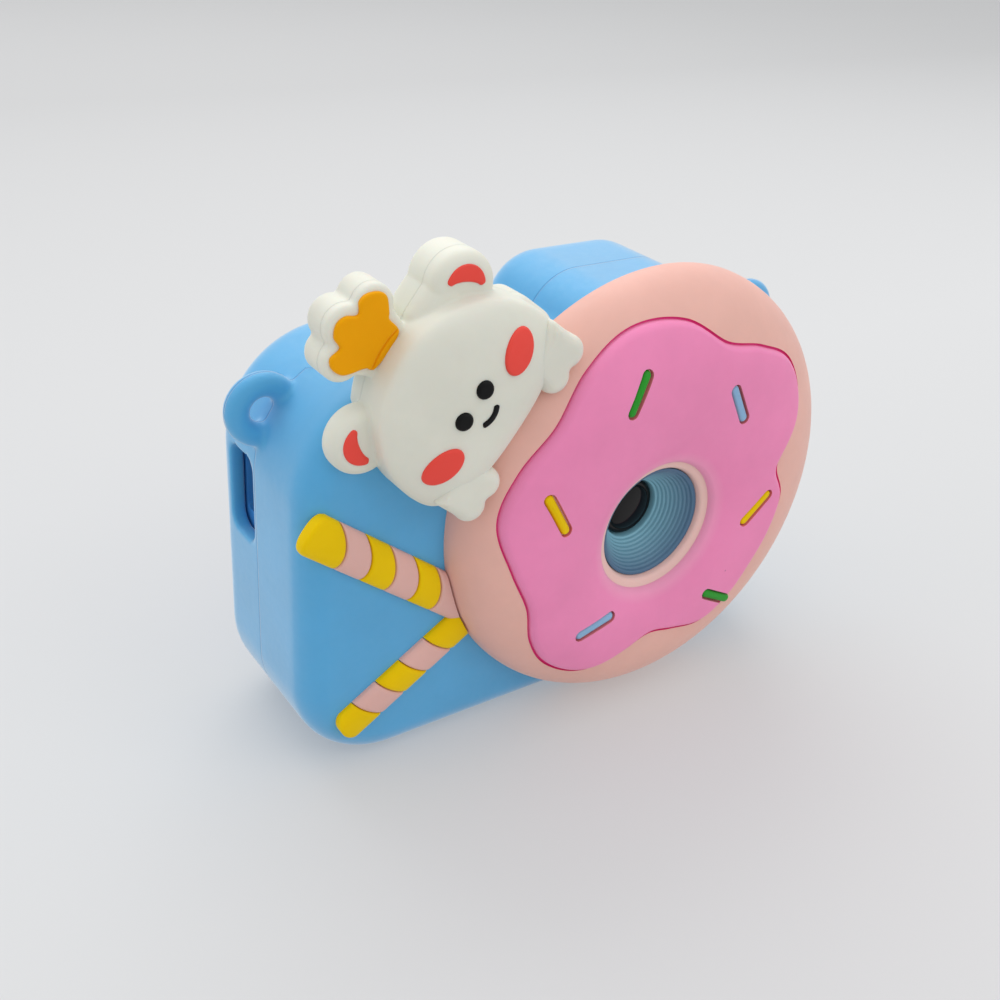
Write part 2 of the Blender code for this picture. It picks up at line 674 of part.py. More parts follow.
for side, label in ((-1, "left"), (1, "right")):
    middle = (side * (EAR_U + 0.2), EAR_V + 0.4)
    facing = 31 if side > 0 else 149
    half = arc(middle, INNER_EAR_RADIUS, facing - 86, facing + 86, 10)
    away = (math.cos(math.radians(facing)), math.sin(math.radians(facing)))
    hollow = arc((middle[0] - 16.2 * away[0], middle[1] - 16.2 * away[1]), 16.65, facing + 9, facing - 9, 3)
    shape = bear_outline(half + hollow)
    boolean(head, plate("inner_ear_seat_" + label, inset(shape, -GAP), -EAR_FRONT - 6, -EAR_FRONT + 0.9))
    paint(cushion("inner_ear_" + label, shape, -EAR_FRONT + 0.65, -EAR_FRONT - 0.25, 0.25, None, 2, ()), "red", 0.55)

    cheek = bear_outline(ellipse((side * CHEEK_U, CHEEK_V), CHEEK_LONG, CHEEK_SHORT, side * CHEEK_TILT))
    boolean(head, seat("cheek_seat_" + label, cheek, head_depth))
    paint(cushion("cheek_" + label, cheek, 0.7, -0.45, 0.35, head_depth, 2), "red", 0.55)

    eye = bear_outline(ellipse((side * EYE_U, EYE_V), EYE_RADIUS, EYE_RADIUS, 0, 20))
    boolean(head, seat("eye_seat_" + label, eye, head_depth))
    paint(cushion("eye_" + label, eye, 0.7, -0.55, 0.4, head_depth, 2), "black", 0.35)

SMILE_CENTRE = (0.0, 0.6)
SMILE_RADIUS = 2.5
SMILE_HALF_WIDTH = 0.42
SMILE_SPREAD = 42


def smile_shape(half_width, spread):
    outer = arc(SMILE_CENTRE, SMILE_RADIUS + half_width, 270 - spread, 270 + spread, 8)
    inner = arc(SMILE_CENTRE, SMILE_RADIUS - half_width, 270 + spread, 270 - spread, 8)
    return bear_outline(outer + inner)


smile_line = smile_shape(SMILE_HALF_WIDTH, SMILE_SPREAD)
boolean(head, seat("smile_seat", smile_line, head_depth, GAP * 0.7))
paint(cushion("bear_smile", smile_line, 0.7, -0.3, 0.12, head_depth, 1, ()), "black", 0.4)

PAW_LOBES = {"right": ((8.9, -9.3, 2.4), (12.8, -8.9, 2.4)), "left": ((-8.3, -9.3, 2.4), (-12.0, -9.3, 2.4))}
PAW_ARMS = {"right": ((6.9, -9.0), (14.9, -8.6), (15.0, -3.5), (7.2, -3.5)),
            "left": ((-14.2, -9.0), (-6.2, -9.0), (-6.4, -3.5), (-14.0, -3.5))}
for label in ("left", "right"):
    arm = PAW_ARMS[label]
    core = (sum(p[0] for p in arm) / 4, sum(p[1] for p in arm) / 4)
    rim = bear_outline(union_outline(core, PAW_LOBES[label], arm, 0.0, 36))
    paw = cushion("paw_" + label, rim, 0.0, -PAW_FRONT, 1.3, None, 3)
    paint(paw, "white", 0.6)
    boolean(paw, sleeve_block("sleeve_block_paw_" + label))
    boolean(paw, ring_solid("ring_block_paw_" + label, GAP))
    boolean(paw, head_solid("head_block_paw_" + label, GAP)).modifiers[-1].solver = "MANIFOLD"


# ---- striped horn and straw ------------------------------------------------
def stripe_point(stick, along, across):
    """A point along and across a stick, measured from the body's origin."""
    d = stick["direction"]
    middle = stick["offset"]
    half = stick["half_width"]
    return (d[0] * along - d[1] * (middle + across * half), d[1] * along + d[0] * (middle + across * half))


def stripe_edge(stick, place, across):
    """Seams between stripes bow along the stick."""
    tip = stick["tip"]
    if place == tip:
        power = stick["tip_power"]
        return place + stick["tip_round"] * (1 - max(1 - abs(0.97 * across) ** power, 0.0) ** (1 / power))
    return place + stick["skew"] * across + stick["bow"] * across * across


def stripe_solid(name, stick, start, end, columns=6, rows=4):
    """One raised, domed stripe between two bowed seams."""
    bm = bmesh.new()
    layers = []
    for layer in ("top", "root"):
        grid = []
        for i in range(columns + 1):
            across = -1 + 2 * i / columns
            low = stripe_edge(stick, start, across) + GAP / 2
            high = stripe_edge(stick, end, across) - GAP / 2
            row = []
            for j in range(rows + 1):
                along = low + (high - low) * (0.0, 0.08, 0.5, 0.92, 1.0)[j]
                x, z = stripe_point(stick, along, across)
                crown_height = STRIPE_EDGE + STRIPE_DOME * math.sqrt(max(1 - across * across, 0.0))
                if j in (0, rows):
                    crown_height -= 0.2
                depth = -crown_height if layer == "top" else STRIPE_ROOT
                row.append(bm.verts.new((x, depth, z)))
            grid.append(row)
        layers.append(grid)
    top, root = layers
    for grid in layers:
        for i in range(columns):
            for j in range(rows):
                bm.faces.new((grid[i][j], grid[i + 1][j], grid[i + 1][j + 1], grid[i][j + 1]))
    rim = [(i, 0) for i in range(columns)] + [(columns, j) for j in range(rows)]
    rim += [(i, rows) for i in range(columns, 0, -1)] + [(0, j) for j in range(rows, 0, -1)]
    for (a, b), (c, d) in zip(rim, rim[1:] + rim[:1]):
        bm.faces.new((top[a][b], top[c][d], root[c][d], root[a][b]))
    return object_from_bmesh(name, bm)


STICKS = (
    {"name": "horn_stripe", "direction": (0.795, -0.607), "offset": 7.85, "half_width": 3.15,
     "tip": -62.6, "tip_round": 2.2, "tip_power": 2.6, "skew": -1.75, "bow": -1.25,
     "seams": (-62.6, -55.6, -50.6, -45.7, -40.8, -35.9, -29.5),
     "colours": ("yellow", "blush", "yellow", "blush", "yellow", "blush")},
    {"name": "straw_stripe", "direction": (0.844, 0.536), "offset": 28.05, "half_width": 2.8,
     "tip": -29.4, "tip_round": 2.2, "tip_power": 2.0, "skew": -1.2, "bow": 0.3,
     "seams": (-29.4, -24.3, -19.7, -15.0, -10.1, -2.0),
     "colours": ("yellow", "blush", "yellow", "blush", "yellow")},
)
footprints = []
for stick in STICKS:
    far = stick["seams"][-1] + 1
    border = 1 + GAP / stick["half_width"]
    wide = [stripe_point(stick, stripe_edge(stick, stick["tip"], a / 8) - GAP, a / 8 * border)
            for a in range(8, -9, -1)]
    footprint = wide + [stripe_point(stick, far, -border), stripe_point(stick, far, border)]
    boolean(sleeve, plate(stick["name"] + "_seat", footprint, -3, STRIPE_SEAT))
    footprints.append(footprint)
    pairs = list(zip(stick["seams"], stick["seams"][1:]))
    for number, ((start, end), colour) in enumerate(zip(pairs, stick["colours"]), 1):
        label = "{}_{}".format(stick["name"], number)
        stripe = paint(stripe_solid(label, stick, start, end), colour, 0.55)
        if number == len(pairs):
            boolean(stripe, cylinder(label + "_trim", (RING_X, RING_Z), RING_RADIUS + GAP, -5, 5, steps=56))
            for crossing in footprints[:-1]:
                boolean(stripe, plate(label + "_crossing", crossing, -5, 5))


# ---- camera housing --------------------------------------------------------
BOSSES = ((-36.0, 9.5), (39.0, 9.5), (-36.0, 52.9), (39.0, 52.9))
SEAM_GAP = 0.3

front_housing = paint(plate("front_housing", body_outline(HOUSING_INSET, False), HOUSING_FRONT, HOUSING_SEAM,
                            1.5, 0.0, 3), "teal", 0.4)
boolean(front_housing, plate("front_hollow", body_outline(HOUSING_INSET + HOUSING_WALL, False),
                             HOUSING_FRONT + HOUSING_WALL, HOUSING_SEAM + 5))
for n, (x, z) in enumerate(BOSSES, 1):
    boolean(front_housing, cylinder("boss_{}".format(n), (x, z), 2.3, HOUSING_FRONT + 1, 25.5, steps=14), "UNION")
    boolean(front_housing, cylinder("pilot_{}".format(n), (x, z), 1.05, 16, 30, steps=12))
boolean(front_housing, cylinder("lens_port", (LENS_X, LENS_Z), 9.5, 0, 8))
for label, x, radius in (("shutter", SHUTTER_X, SHUTTER_RADIUS), ("power", POWER_X, POWER_RADIUS)):
    boolean(front_housing, cylinder(label + "_port", (x, TOP_KEY_Y), radius + 0.3, 50, HEIGHT, "Z", 28))

rear_housing = paint(plate("rear_housing", body_outline(HOUSING_INSET, False), HOUSING_SEAM + SEAM_GAP, HOUSING_BACK,
                           0.0, 1.2, 3), "teal", 0.45)
inner_back = HOUSING_BACK - HOUSING_WALL
boolean(rear_housing, plate("rear_hollow", body_outline(HOUSING_INSET + HOUSING_WALL, False), HOUSING_SEAM - 5,
                            inner_back))
for n, (x, z) in enumerate(BOSSES, 1):
    boolean(rear_housing, cylinder("boss_relief_{}".format(n), (x, z), 2.6, HOUSING_SEAM - 2, inner_back, steps=14))
    boolean(rear_housing, cylinder("screw_hole_{}".format(n), (x, z), 1.05, 20, 30, steps=12))
    boolean(rear_housing, cylinder("screw_sink_{}".format(n), (x, z), 1.9, HOUSING_BACK - 1.0, 30, steps=16))
screen_low = (SCREEN_X - SCREEN_HALF_WIDTH, SCREEN_Z - SCREEN_HALF_HEIGHT)
screen_high = (SCREEN_X + SCREEN_HALF_WIDTH, SCREEN_Z + SCREEN_HALF_HEIGHT)
boolean(rear_housing, box("screen_opening", (screen_low[0] - 0.3, 20, screen_low[1] - 0.3),
                          (screen_high[0] + 0.3, 30, screen_high[1] + 0.3)))
boolean(rear_housing, box("card_opening", (-50, CARD_Y - 0.7, SOCKET_Z - 5.9), (-38, CARD_Y + 0.7, SOCKET_Z + 5.9)))
boolean(rear_housing, box("usb_opening", (-50, USB_Y - 1.9, SOCKET_Z - 4.8), (-38, USB_Y + 1.9, SOCKET_Z + 4.8), 1.2, 3))
for row, col in ((0, 0), (1, 0), (-1, 0), (0, 1), (0, -1)):
    boolean(rear_housing, cylinder("sound_hole", (PAD_X + 2.4 * row, 11.0 + 2.4 * col), 0.7, 20, 30, steps=10))

KEYS = (
    ("up_button", PAD_X, PAD_Z + PAD_REACH, 2.6),
    ("down_button", PAD_X, PAD_Z - PAD_REACH, 2.6),
    ("left_button", PAD_X + PAD_REACH, PAD_Z, 2.6),
    ("right_button", PAD_X - PAD_REACH, PAD_Z, 2.6),
    ("ok_button", PAD_X, PAD_Z, 3.2),
    ("mode_button", PAD_X - 5.5, PAD_Z + 18.0, 2.6),
    ("playback_button", PAD_X + 5.5, PAD_Z + 18.0, 2.6),
)
for name, x, z, radius in KEYS:
    boolean(rear_housing, cylinder(name + "_port", (x, z), radius + 0.3, 20, 30, steps=20))
    flange = inner_back - SEAM_GAP
    crown_of_key = HOUSING_BACK + 1.0
    profile = ((0, crown_of_key), (radius * 0.6, crown_of_key - 0.12), (radius - 0.35, crown_of_key - 0.4),
               (radius, crown_of_key - 0.8), (radius, flange), (radius + 0.6, flange),
               (radius + 0.6, flange - 1.0), (0, flange - 1.0))
    key = turned(name, profile, (x, 0, z), "+Y", 20)
    paint(key, "blue" if name != "ok_button" else "pink", 0.4)

for name, x, radius, colour in (("shutter_button", SHUTTER_X, SHUTTER_RADIUS, "pink"),
                                ("power_button", POWER_X, POWER_RADIUS, "key")):
    roof = HEIGHT - HOUSING_INSET - HOUSING_WALL - SEAM_GAP
    tip = HEIGHT + 1.3
    profile = ((0, tip), (radius * 0.6, tip - 0.15), (radius - 0.4, tip - 0.5), (radius, tip - 1.0),
               (radius, roof), (radius + 0.9, roof), (radius + 0.9, roof - 1.0), (0, roof - 1.0))
    paint(turned(name, profile, (x, TOP_KEY_Y, 0), "+Z", 24), colour, 0.4)

for n, (x, z) in enumerate(BOSSES, 1):
    head_top = HOUSING_BACK - 0.2
    profile = ((0, head_top - 0.3), (0.5, head_top - 0.3), (0.6, head_top), (1.2, head_top - 0.05),
               (1.5, head_top - 0.7), (0.8, head_top - 0.7), (0.8, 17.0), (0, 17.0))
    paint(turned("back_screw_{}".format(n), profile, (x, 0, z), "+Y", 12), "steel", 0.3, 1.0)


# ---- lens ------------------------------------------------------------------
funnel = []
step_depth = 5.3 / FUNNEL_STEPS
step_width = (FUNNEL_MOUTH - FUNNEL_THROAT) / FUNNEL_STEPS
for n in range(FUNNEL_STEPS):
    radius = FUNNEL_THROAT + step_width * n
    height = 1.6 + step_depth * n
    funnel.append((radius, height))
    funnel.append((radius + 0.12, height + step_depth * 0.8))
cone_profile = [(9.3, 6.9), (9.3, -4.6), (11.0, -4.6), (11.0, -5.6), (4.2, -5.6), (4.2, 0.2), (FUNNEL_THROAT, 0.2)]
cone_profile += funnel + [(FUNNEL_MOUTH, 6.9)]
paint(turned("lens_cone", cone_profile, (LENS_X, 0, LENS_Z), "-Y", 28), "slate", 0.5)

bezel_profile = ((4.6, 1.9), (4.75, 1.5), (4.75, 0.5), (3.6, 0.5), (3.6, 1.0), (4.2, 1.0), (4.3, 1.75))
paint(turned("lens_bezel", bezel_profile, (LENS_X, 0, LENS_Z), "-Y", 28), "black", 0.2)
glass_profile = ((0, 2.0), (2.0, 1.9), (3.3, 1.65), (3.9, 1.4), (3.9, 1.25), (0, 1.25))
paint(turned("lens_glass", glass_profile, (LENS_X, 0, LENS_Z), "-Y", 24), "black", 0.05)

camera_module = paint(turned("camera_module", ((0, 0.2), (2.4, 0.2), (3.2, -0.4), (3.2, -6.2), (0, -6.2)),
                             (LENS_X, 0, LENS_Z), "-Y", 28), "graphite", 0.4)
boolean(camera_module, box("module_base", (LENS_X - 4.5, 6.0, LENS_Z - 4.5), (LENS_X + 4.5, 8.6, LENS_Z + 4.5), 0.3),
        "UNION")


# ---- electronics -----------------------------------------------------------
paint(box("main_board", (-33, 19.5, 8), (33, 20.5, 55), 0.0), "board", 0.5)
paint(box("battery", (-8, 11.0, 17), (26, 16.5, 45), 0.8, 3), "steel", 0.4)
paint(box("lcd_module", (screen_low[0] - 0.6, 21.6, screen_low[1] - 1.2),
          (screen_high[0] + 0.6, 25.4, screen_high[1] + 1.2), 0.3), "graphite", 0.4)
paint(box("screen_window", (screen_low[0], 25.7, screen_low[1]), (screen_high[0], HOUSING_BACK - 0.1, screen_high[1]),
          0.3), "black", 0.05)
key_board = paint(box("key_board", (PAD_X - 11.0, 21.8, PAD_Z - 11.5), (PAD_X + 11.0, 23.6, PAD_Z + 21.0), 0.4),
                  "graphite", 0.7)
boolean(key_board, box("port_notch", (-50, 15, SOCKET_Z - 5.0), (-34.5, 30, SOCKET_Z + 5.0)))
paint(turned("speaker", ((0, 24.4), (2.6, 24.4), (3.4, 23.8), (6.0, 24.2), (6.0, 21.4), (0, 21.4)),
             (PAD_X, 0, 11.0), "+Y", 32), "graphite", 0.5)

usb_port = paint(box("usb_port", (-42.3, USB_Y - 1.55, SOCKET_Z - 4.45), (-35.0, USB_Y + 1.55, SOCKET_Z + 4.45), 1.3, 3),
                 "steel", 0.3, 1.0)
usb_hollow = box("usb_hollow", (-45, USB_Y - 1.25, SOCKET_Z - 4.15), (-36.5, USB_Y + 1.25, SOCKET_Z + 4.15), 1.0, 3)
boolean(usb_hollow, box("usb_tongue", (-41.5, USB_Y - 0.4, SOCKET_Z - 3.3), (-30, USB_Y + 0.4, SOCKET_Z + 3.3)))
boolean(usb_port, usb_hollow)

card_slot = paint(box("card_slot", (-40.6, CARD_Y - 1.0, SOCKET_Z - 7.0), (-26.5, CARD_Y + 1.0, SOCKET_Z + 7.0)),
                  "steel", 0.35, 1.0)
boolean(card_slot, box("card_path", (-45, CARD_Y - 0.6, SOCKET_Z - 5.75), (-28.0, CARD_Y + 0.6, SOCKET_Z + 5.75)))
CARD_LENGTH = 15.0
card_outline = [(-CARD_LENGTH - 28.3, SOCKET_Z - 5.5), (-28.3, SOCKET_Z - 5.5), (-28.3, SOCKET_Z + 4.1),
                (-29.6, SOCKET_Z + 5.5), (-CARD_LENGTH - 28.3, SOCKET_Z + 5.5)]
micro_sd = paint(plate("micro_sd_card", card_outline, CARD_Y - 0.35, CARD_Y + 0.35), "black", 0.5)


# ---- origin in the middle of the base --------------------------------------
base_middle = Vector(((LEFT_END + RIGHT_END) / 2, DEPTH / 2, 0)) * MM
for collection in (PARTS, CUTTERS):
    for obj in collection.objects:
        obj.location -= base_middle
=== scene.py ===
"""Looks of the kids digital camera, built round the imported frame."""
import math

import bmesh
import bpy
from mathutils import Matrix, Vector


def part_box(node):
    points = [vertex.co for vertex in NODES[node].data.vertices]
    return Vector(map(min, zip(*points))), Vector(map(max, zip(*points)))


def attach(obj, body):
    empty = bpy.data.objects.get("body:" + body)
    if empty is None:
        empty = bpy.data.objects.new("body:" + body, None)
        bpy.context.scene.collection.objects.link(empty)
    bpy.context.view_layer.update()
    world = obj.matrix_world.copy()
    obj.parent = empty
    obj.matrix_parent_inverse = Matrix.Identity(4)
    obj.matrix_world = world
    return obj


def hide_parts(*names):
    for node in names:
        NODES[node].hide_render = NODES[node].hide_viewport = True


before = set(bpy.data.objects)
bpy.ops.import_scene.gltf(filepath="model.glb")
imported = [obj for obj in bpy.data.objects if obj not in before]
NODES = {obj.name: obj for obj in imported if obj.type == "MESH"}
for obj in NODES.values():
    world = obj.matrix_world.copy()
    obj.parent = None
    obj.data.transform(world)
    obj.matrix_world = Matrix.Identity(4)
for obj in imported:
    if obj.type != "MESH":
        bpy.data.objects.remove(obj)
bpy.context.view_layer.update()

MM = 0.001


def middle(node):
    low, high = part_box(node)
    return (Vector(low) + Vector(high)) / 2


def size(node):
    low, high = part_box(node)
    return Vector(high) - Vector(low)


# Layout origin: the sleeve's front plane, below the sleeve's own left-right zero.
RING_R = size("donut_ring").x / 2 / MM
RING = (13.1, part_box("donut_ring")[1][2] / MM - RING_R)
ORIGIN = Vector((middle("donut_ring").x - RING[0] * MM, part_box("donut_ring")[1][1] - 0.9 * MM, 0))


def local(node):
    """Centre of a CAD node in layout millimetres."""
    return (middle(node) - ORIGIN) / MM


# ---- shared sizes, layout millimetres --------------------------------------
LENS = (local("lens_bezel").x, local("lens_bezel").z)
HEIGHT = 62.4
LEFT_END = -45.2
RIGHT_END = 48.2
DEPTH = (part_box("silicone_sleeve")[1][1] - ORIGIN.y) / MM
BOTTOM_CORNER = 15.0
TOP_CORNER = 16.8
FRONT_ROUND = 4.5
BACK_ROUND = 5.3
SLEEVE_WALL = 2.2
CAVITY_BACK = 28.0
REAR_LIP = 6.0
WINDOW_ROUND = 2.0
SEAM_Y = 15.3
LOOPS = ((LEFT_END + 1.4, 55.2), (RIGHT_END - 0.1, 55.5))
KEY_FLANGE = 0.6
TOP_KEY_FLANGE = 0.9
HOLE_R = 9.6
RISE = 9.9
LIP_DROP = 2.6
CREST = 12.6 / 26.4
ICING_RISE = 0.7
ICING_INNER = 10.9
ICING_RADII = (25.4, 23.9, 30.2, 33.2, 31.7, 30.5, 33.8, 34.8, 33.2, 30.7, 31.0, 30.7,
               27.5, 25.5, 26.6, 27.2, 25.9, 21.8, 19.1, 20.6, 23.6, 24.3, 24.3, 25.0)


# ---- materials -------------------------------------------------------------
def lin(c):
    """sRGB value to linear."""
    return c / 12.92 if c <= 0.04045 else ((c + 0.055) / 1.055) ** 2.4


def rgb(r, g, b):
    return (lin(r / 255), lin(g / 255), lin(b / 255), 1.0)


class Graph:
    """Small helper for writing node trees."""

    def __init__(self, name):
        self.material = bpy.data.materials.new(name)
        self.material.use_nodes = True
        self.tree = self.material.node_tree
        self.shader = self.tree.nodes["Principled BSDF"]

    def add(self, kind, **values):
        node = self.tree.nodes.new(kind)
        for key, value in values.items():
            if hasattr(node, key):
                setattr(node, key, value)
            else:
                node.inputs[key.replace("_", " ")].default_value = value
        return node

    def link(self, out, into):
        self.tree.links.new(out, into)

    def math(self, operation, a, b=None, c=None):
        node = self.tree.nodes.new("ShaderNodeMath")
        node.operation = operation
        for socket, value in zip(node.inputs, (a, b, c)):
            if value is None:
                continue
            if isinstance(value, (int, float)):
                socket.default_value = value
            else:
                self.link(value, socket)
        return node.outputs[0]

    def noise(self, scale, detail=3.0, roughness=0.55, vector=None):
        node = self.tree.nodes.new("ShaderNodeTexNoise")
        node.inputs["Scale"].default_value = scale
        node.inputs["Detail"].default_value = detail
        node.inputs["Roughness"].default_value = roughness
        self.link(vector or self.place(), node.inputs["Vector"])
        return node.outputs["Fac"]

    def place(self):
        if not hasattr(self, "_place"):
            self._place = self.tree.nodes.new("ShaderNodeTexCoord").outputs["Object"]
        return self._place

    def remap(self, value, low, high, to_low, to_high):
        node = self.tree.nodes.new("ShaderNodeMapRange")
        for name, number in (("From Min", low), ("From Max", high), ("To Min", to_low), ("To Max", to_high)):
            node.inputs[name].default_value = number
        self.link(value, node.inputs["Value"])
        return node.outputs["Result"]

    def mix(self, factor, a, b):
        node = self.tree.nodes.new("ShaderNodeMix")
        node.data_type = "RGBA"
        self.link(factor, node.inputs["Factor"])
        for socket, value in ((node.inputs[6], a), (node.inputs[7], b)):
            if isinstance(value, tuple):
                socket.default_value = value
            else:
                self.link(value, socket)
        return node.outputs[2]

    def bump(self, height, strength, distance, after=None):
        node = self.tree.nodes.new("ShaderNodeBump")
        node.inputs["Strength"].default_value = strength
        node.inputs["Distance"].default_value = distance
        self.link(height, node.inputs["Height"])
        if after is not None:
            self.link(after, node.inputs["Normal"])
        return node.outputs["Normal"]


def shade(colour, factor):
    return tuple(c * factor for c in colour[:3]) + (1.0,)


def lens_radius(g):
    """Distance from the lens axis in millimetres."""
    split = g.add("ShaderNodeSeparateXYZ")
    g.link(g.place(), split.inputs[0])
    x = g.math("MULTIPLY_ADD", split.outputs[0], 1000.0, -ORIGIN.x * 1000 - LENS[0])
    z = g.math("MULTIPLY_ADD", split.outputs[2], 1000.0, -LENS[1])
    return g.math("SQRT", g.math("ADD", g.math("MULTIPLY", x, x), g.math("MULTIPLY", z, z)))


def silicone(name, colour, rough=0.56, soft=0.12, radius=(1.0, 0.6, 0.4), seam=False, specks=True, gloss=0.35,
             sheen=0.12, parting=None, painted_lip_glow=0.0):
    """Matte moulded silicone: faint mottling, fine grain, stray dust specks; optional painted shade along
    parting-line grooves and a painted glow, paler towards the lens hole.
    """
    g = Graph(name)
    s = g.shader
    cloud = g.noise(70.0, 4.0, 0.6)
    fine = g.noise(900.0, 2.0, 0.5)
    tint = g.mix(g.remap(cloud, 0.35, 0.65, 0.0, 1.0), shade(colour, 0.955), shade(colour, 1.03))
    if specks:
        dots = g.add("ShaderNodeTexVoronoi", feature="F1")
        dots.inputs["Scale"].default_value = 160.0
        g.link(g.place(), dots.inputs["Vector"])
        near = g.remap(dots.outputs["Distance"], 0.018, 0.034, 1.0, 0.0)
        pick = g.add("ShaderNodeSeparateColor")
        g.link(dots.outputs["Color"], pick.inputs[0])
        chosen = g.math("GREATER_THAN", pick.outputs[0], 0.93)
        dust = g.math("MULTIPLY", near, chosen)
        tint = g.mix(g.math("MULTIPLY", dust, 0.45), tint, shade(colour, 0.35))
    # painted light: paler towards the lens hole, standing in for light glowing through the thin lip
    if painted_lip_glow:
        near = g.remap(lens_radius(g), 10.4, 13.2, painted_lip_glow, 0.0)
        tint = g.mix(near, tint, rgb(248, 226, 222))
    normal = g.bump(fine, 0.10, 0.00006)
    normal = g.bump(cloud, 0.08, 0.0004, normal)
    # painted shade: darker blue along the parting-line groove, plus a real bump
    if seam:
        line = seam_line(g)
        tint = g.mix(g.math("MULTIPLY", line, 0.5), tint, rgb(34, 112, 178))
        normal = g.bump(g.math("SUBTRACT", 1.0, line), 0.4, 0.00015, normal)
    # painted shade: darker along the parting-line groove, plus a real bump
    if parting is not None:
        split = g.add("ShaderNodeSeparateXYZ")
        g.link(g.place(), split.inputs[0])
        y = g.math("MULTIPLY_ADD", split.outputs[1], 1000.0, -ORIGIN.y * 1000 - parting)
        line = g.remap(g.math("ABSOLUTE", y), 0.05, 0.17, 1.0, 0.0)
        tint = g.mix(g.math("MULTIPLY", line, 0.22), tint, shade(colour, 0.6))
        normal = g.bump(g.math("SUBTRACT", 1.0, line), 0.5, 0.00015, normal)
    g.link(tint, s.inputs["Base Color"])
    g.link(g.remap(fine, 0.3, 0.7, rough - 0.05, rough + 0.06), s.inputs["Roughness"])
    g.link(normal, s.inputs["Normal"])
    s.inputs["Subsurface Weight"].default_value = soft
    s.inputs["Subsurface Radius"].default_value = radius
    s.inputs["Subsurface Scale"].default_value = 0.0015
    s.inputs["Specular IOR Level"].default_value = gloss
    s.inputs["Sheen Weight"].default_value = sheen
    s.inputs["Sheen Roughness"].default_value = 0.4
    return g.material


def seam_line(g):
    """1 on the mould's parting line, which runs round the sleeve and turns forward behind the bear."""
    split = g.add("ShaderNodeSeparateXYZ")
    g.link(g.place(), split.inputs[0])
    x = g.math("MULTIPLY_ADD", split.outputs[0], 1000.0, -ORIGIN.x * 1000)
    y = g.math("MULTIPLY_ADD", split.outputs[1], 1000.0, -ORIGIN.y * 1000)
    z = g.math("MULTIPLY", split.outputs[2], 1000.0)
    left = g.remap(x, -37.0, -33.4, 0.0, -7.8)
    left.node.clamp = True
    right = g.remap(x, -10.0, -5.0, -7.8, 0.0)
    right.node.clamp = True
    top = g.math("GREATER_THAN", z, 52.0)
    lower = g.math("MINIMUM", left, 0.0)
    upper = g.math("MAXIMUM", right, -7.8)
    turn = g.math("MAXIMUM", lower, upper)
    shifted = g.math("MULTIPLY", turn, top)
    along = g.math("ABSOLUTE", g.math("SUBTRACT", g.math("SUBTRACT", y, SEAM_Y), shifted))
    return g.remap(along, 0.06, 0.20, 1.0, 0.0)


def plastic(name, colour, rough=0.35, coat=0.0, metallic=0.0, bump=0.05, spec=0.5, inner=None):
    """Moulded plastic, or metal: soft clouding and a fine grain; optionally lighter towards the lens axis,
    painted light and shade in the lens funnel.
    """
    g = Graph(name)
    s = g.shader
    cloud = g.noise(120.0, 4.0, 0.6)
    fine = g.noise(600.0, 3.0, 0.6)
    tint = g.mix(g.remap(cloud, 0.3, 0.7, 0.0, 1.0), shade(colour, 0.93), shade(colour, 1.04))
    # painted light and shade: lighter near the lens axis, darker towards the funnel's mouth
    if inner:
        tint = g.mix(g.remap(lens_radius(g), 5.0, 9.2, 1.0, 0.0), tint, inner)
    g.link(tint, s.inputs["Base Color"])
    g.link(g.remap(fine, 0.3, 0.7, max(rough - 0.06, 0.02), rough + 0.08), s.inputs["Roughness"])
    g.link(g.bump(fine, bump, 0.00008), s.inputs["Normal"])
    s.inputs["Metallic"].default_value = metallic
    s.inputs["Specular IOR Level"].default_value = spec
    s.inputs["Coat Weight"].default_value = coat
    s.inputs["Coat Roughness"].default_value = 0.05
    return g.material


BLUE = silicone("blue_silicone", rgb(74, 168, 219), seam=True, radius=(0.4, 0.7, 1.0), gloss=0.7, sheen=0.85)
# the paler tint near the lens hole on cream and pink is painted light
CREAM = silicone("cream_silicone", rgb(235, 182, 168), painted_lip_glow=0.35)
PINK = silicone("pink_silicone", rgb(244, 140, 186), radius=(1.0, 0.5, 0.7), painted_lip_glow=0.22)
WHITE = silicone("white_silicone", rgb(226, 225, 211), soft=0.2, parting=0.9)
# rose and wine colour the icing seat and sprinkle slot walls: darker pinks as painted shade in those grooves
ROSE = silicone("rose_silicone", rgb(238, 52, 140), specks=False)
WINE = silicone("wine_silicone", rgb(226, 120, 128), specks=False)
GOLD = silicone("gold_silicone", rgb(240, 163, 0), gloss=0.08)
YELLOW = silicone("yellow_silicone", rgb(240, 200, 0), gloss=0.08)
BLUSH = silicone("blush_silicone", rgb(228, 180, 170))
GREEN = silicone("green_silicone", rgb(25, 150, 25), specks=False)
SKY = silicone("sky_silicone", rgb(140, 180, 215), specks=False)
RED = silicone("red_silicone", rgb(238, 70, 58), soft=0.08)
BLACK = silicone("black_silicone", rgb(8, 8, 9), rough=0.5, soft=0.0, specks=False, gloss=0.15)
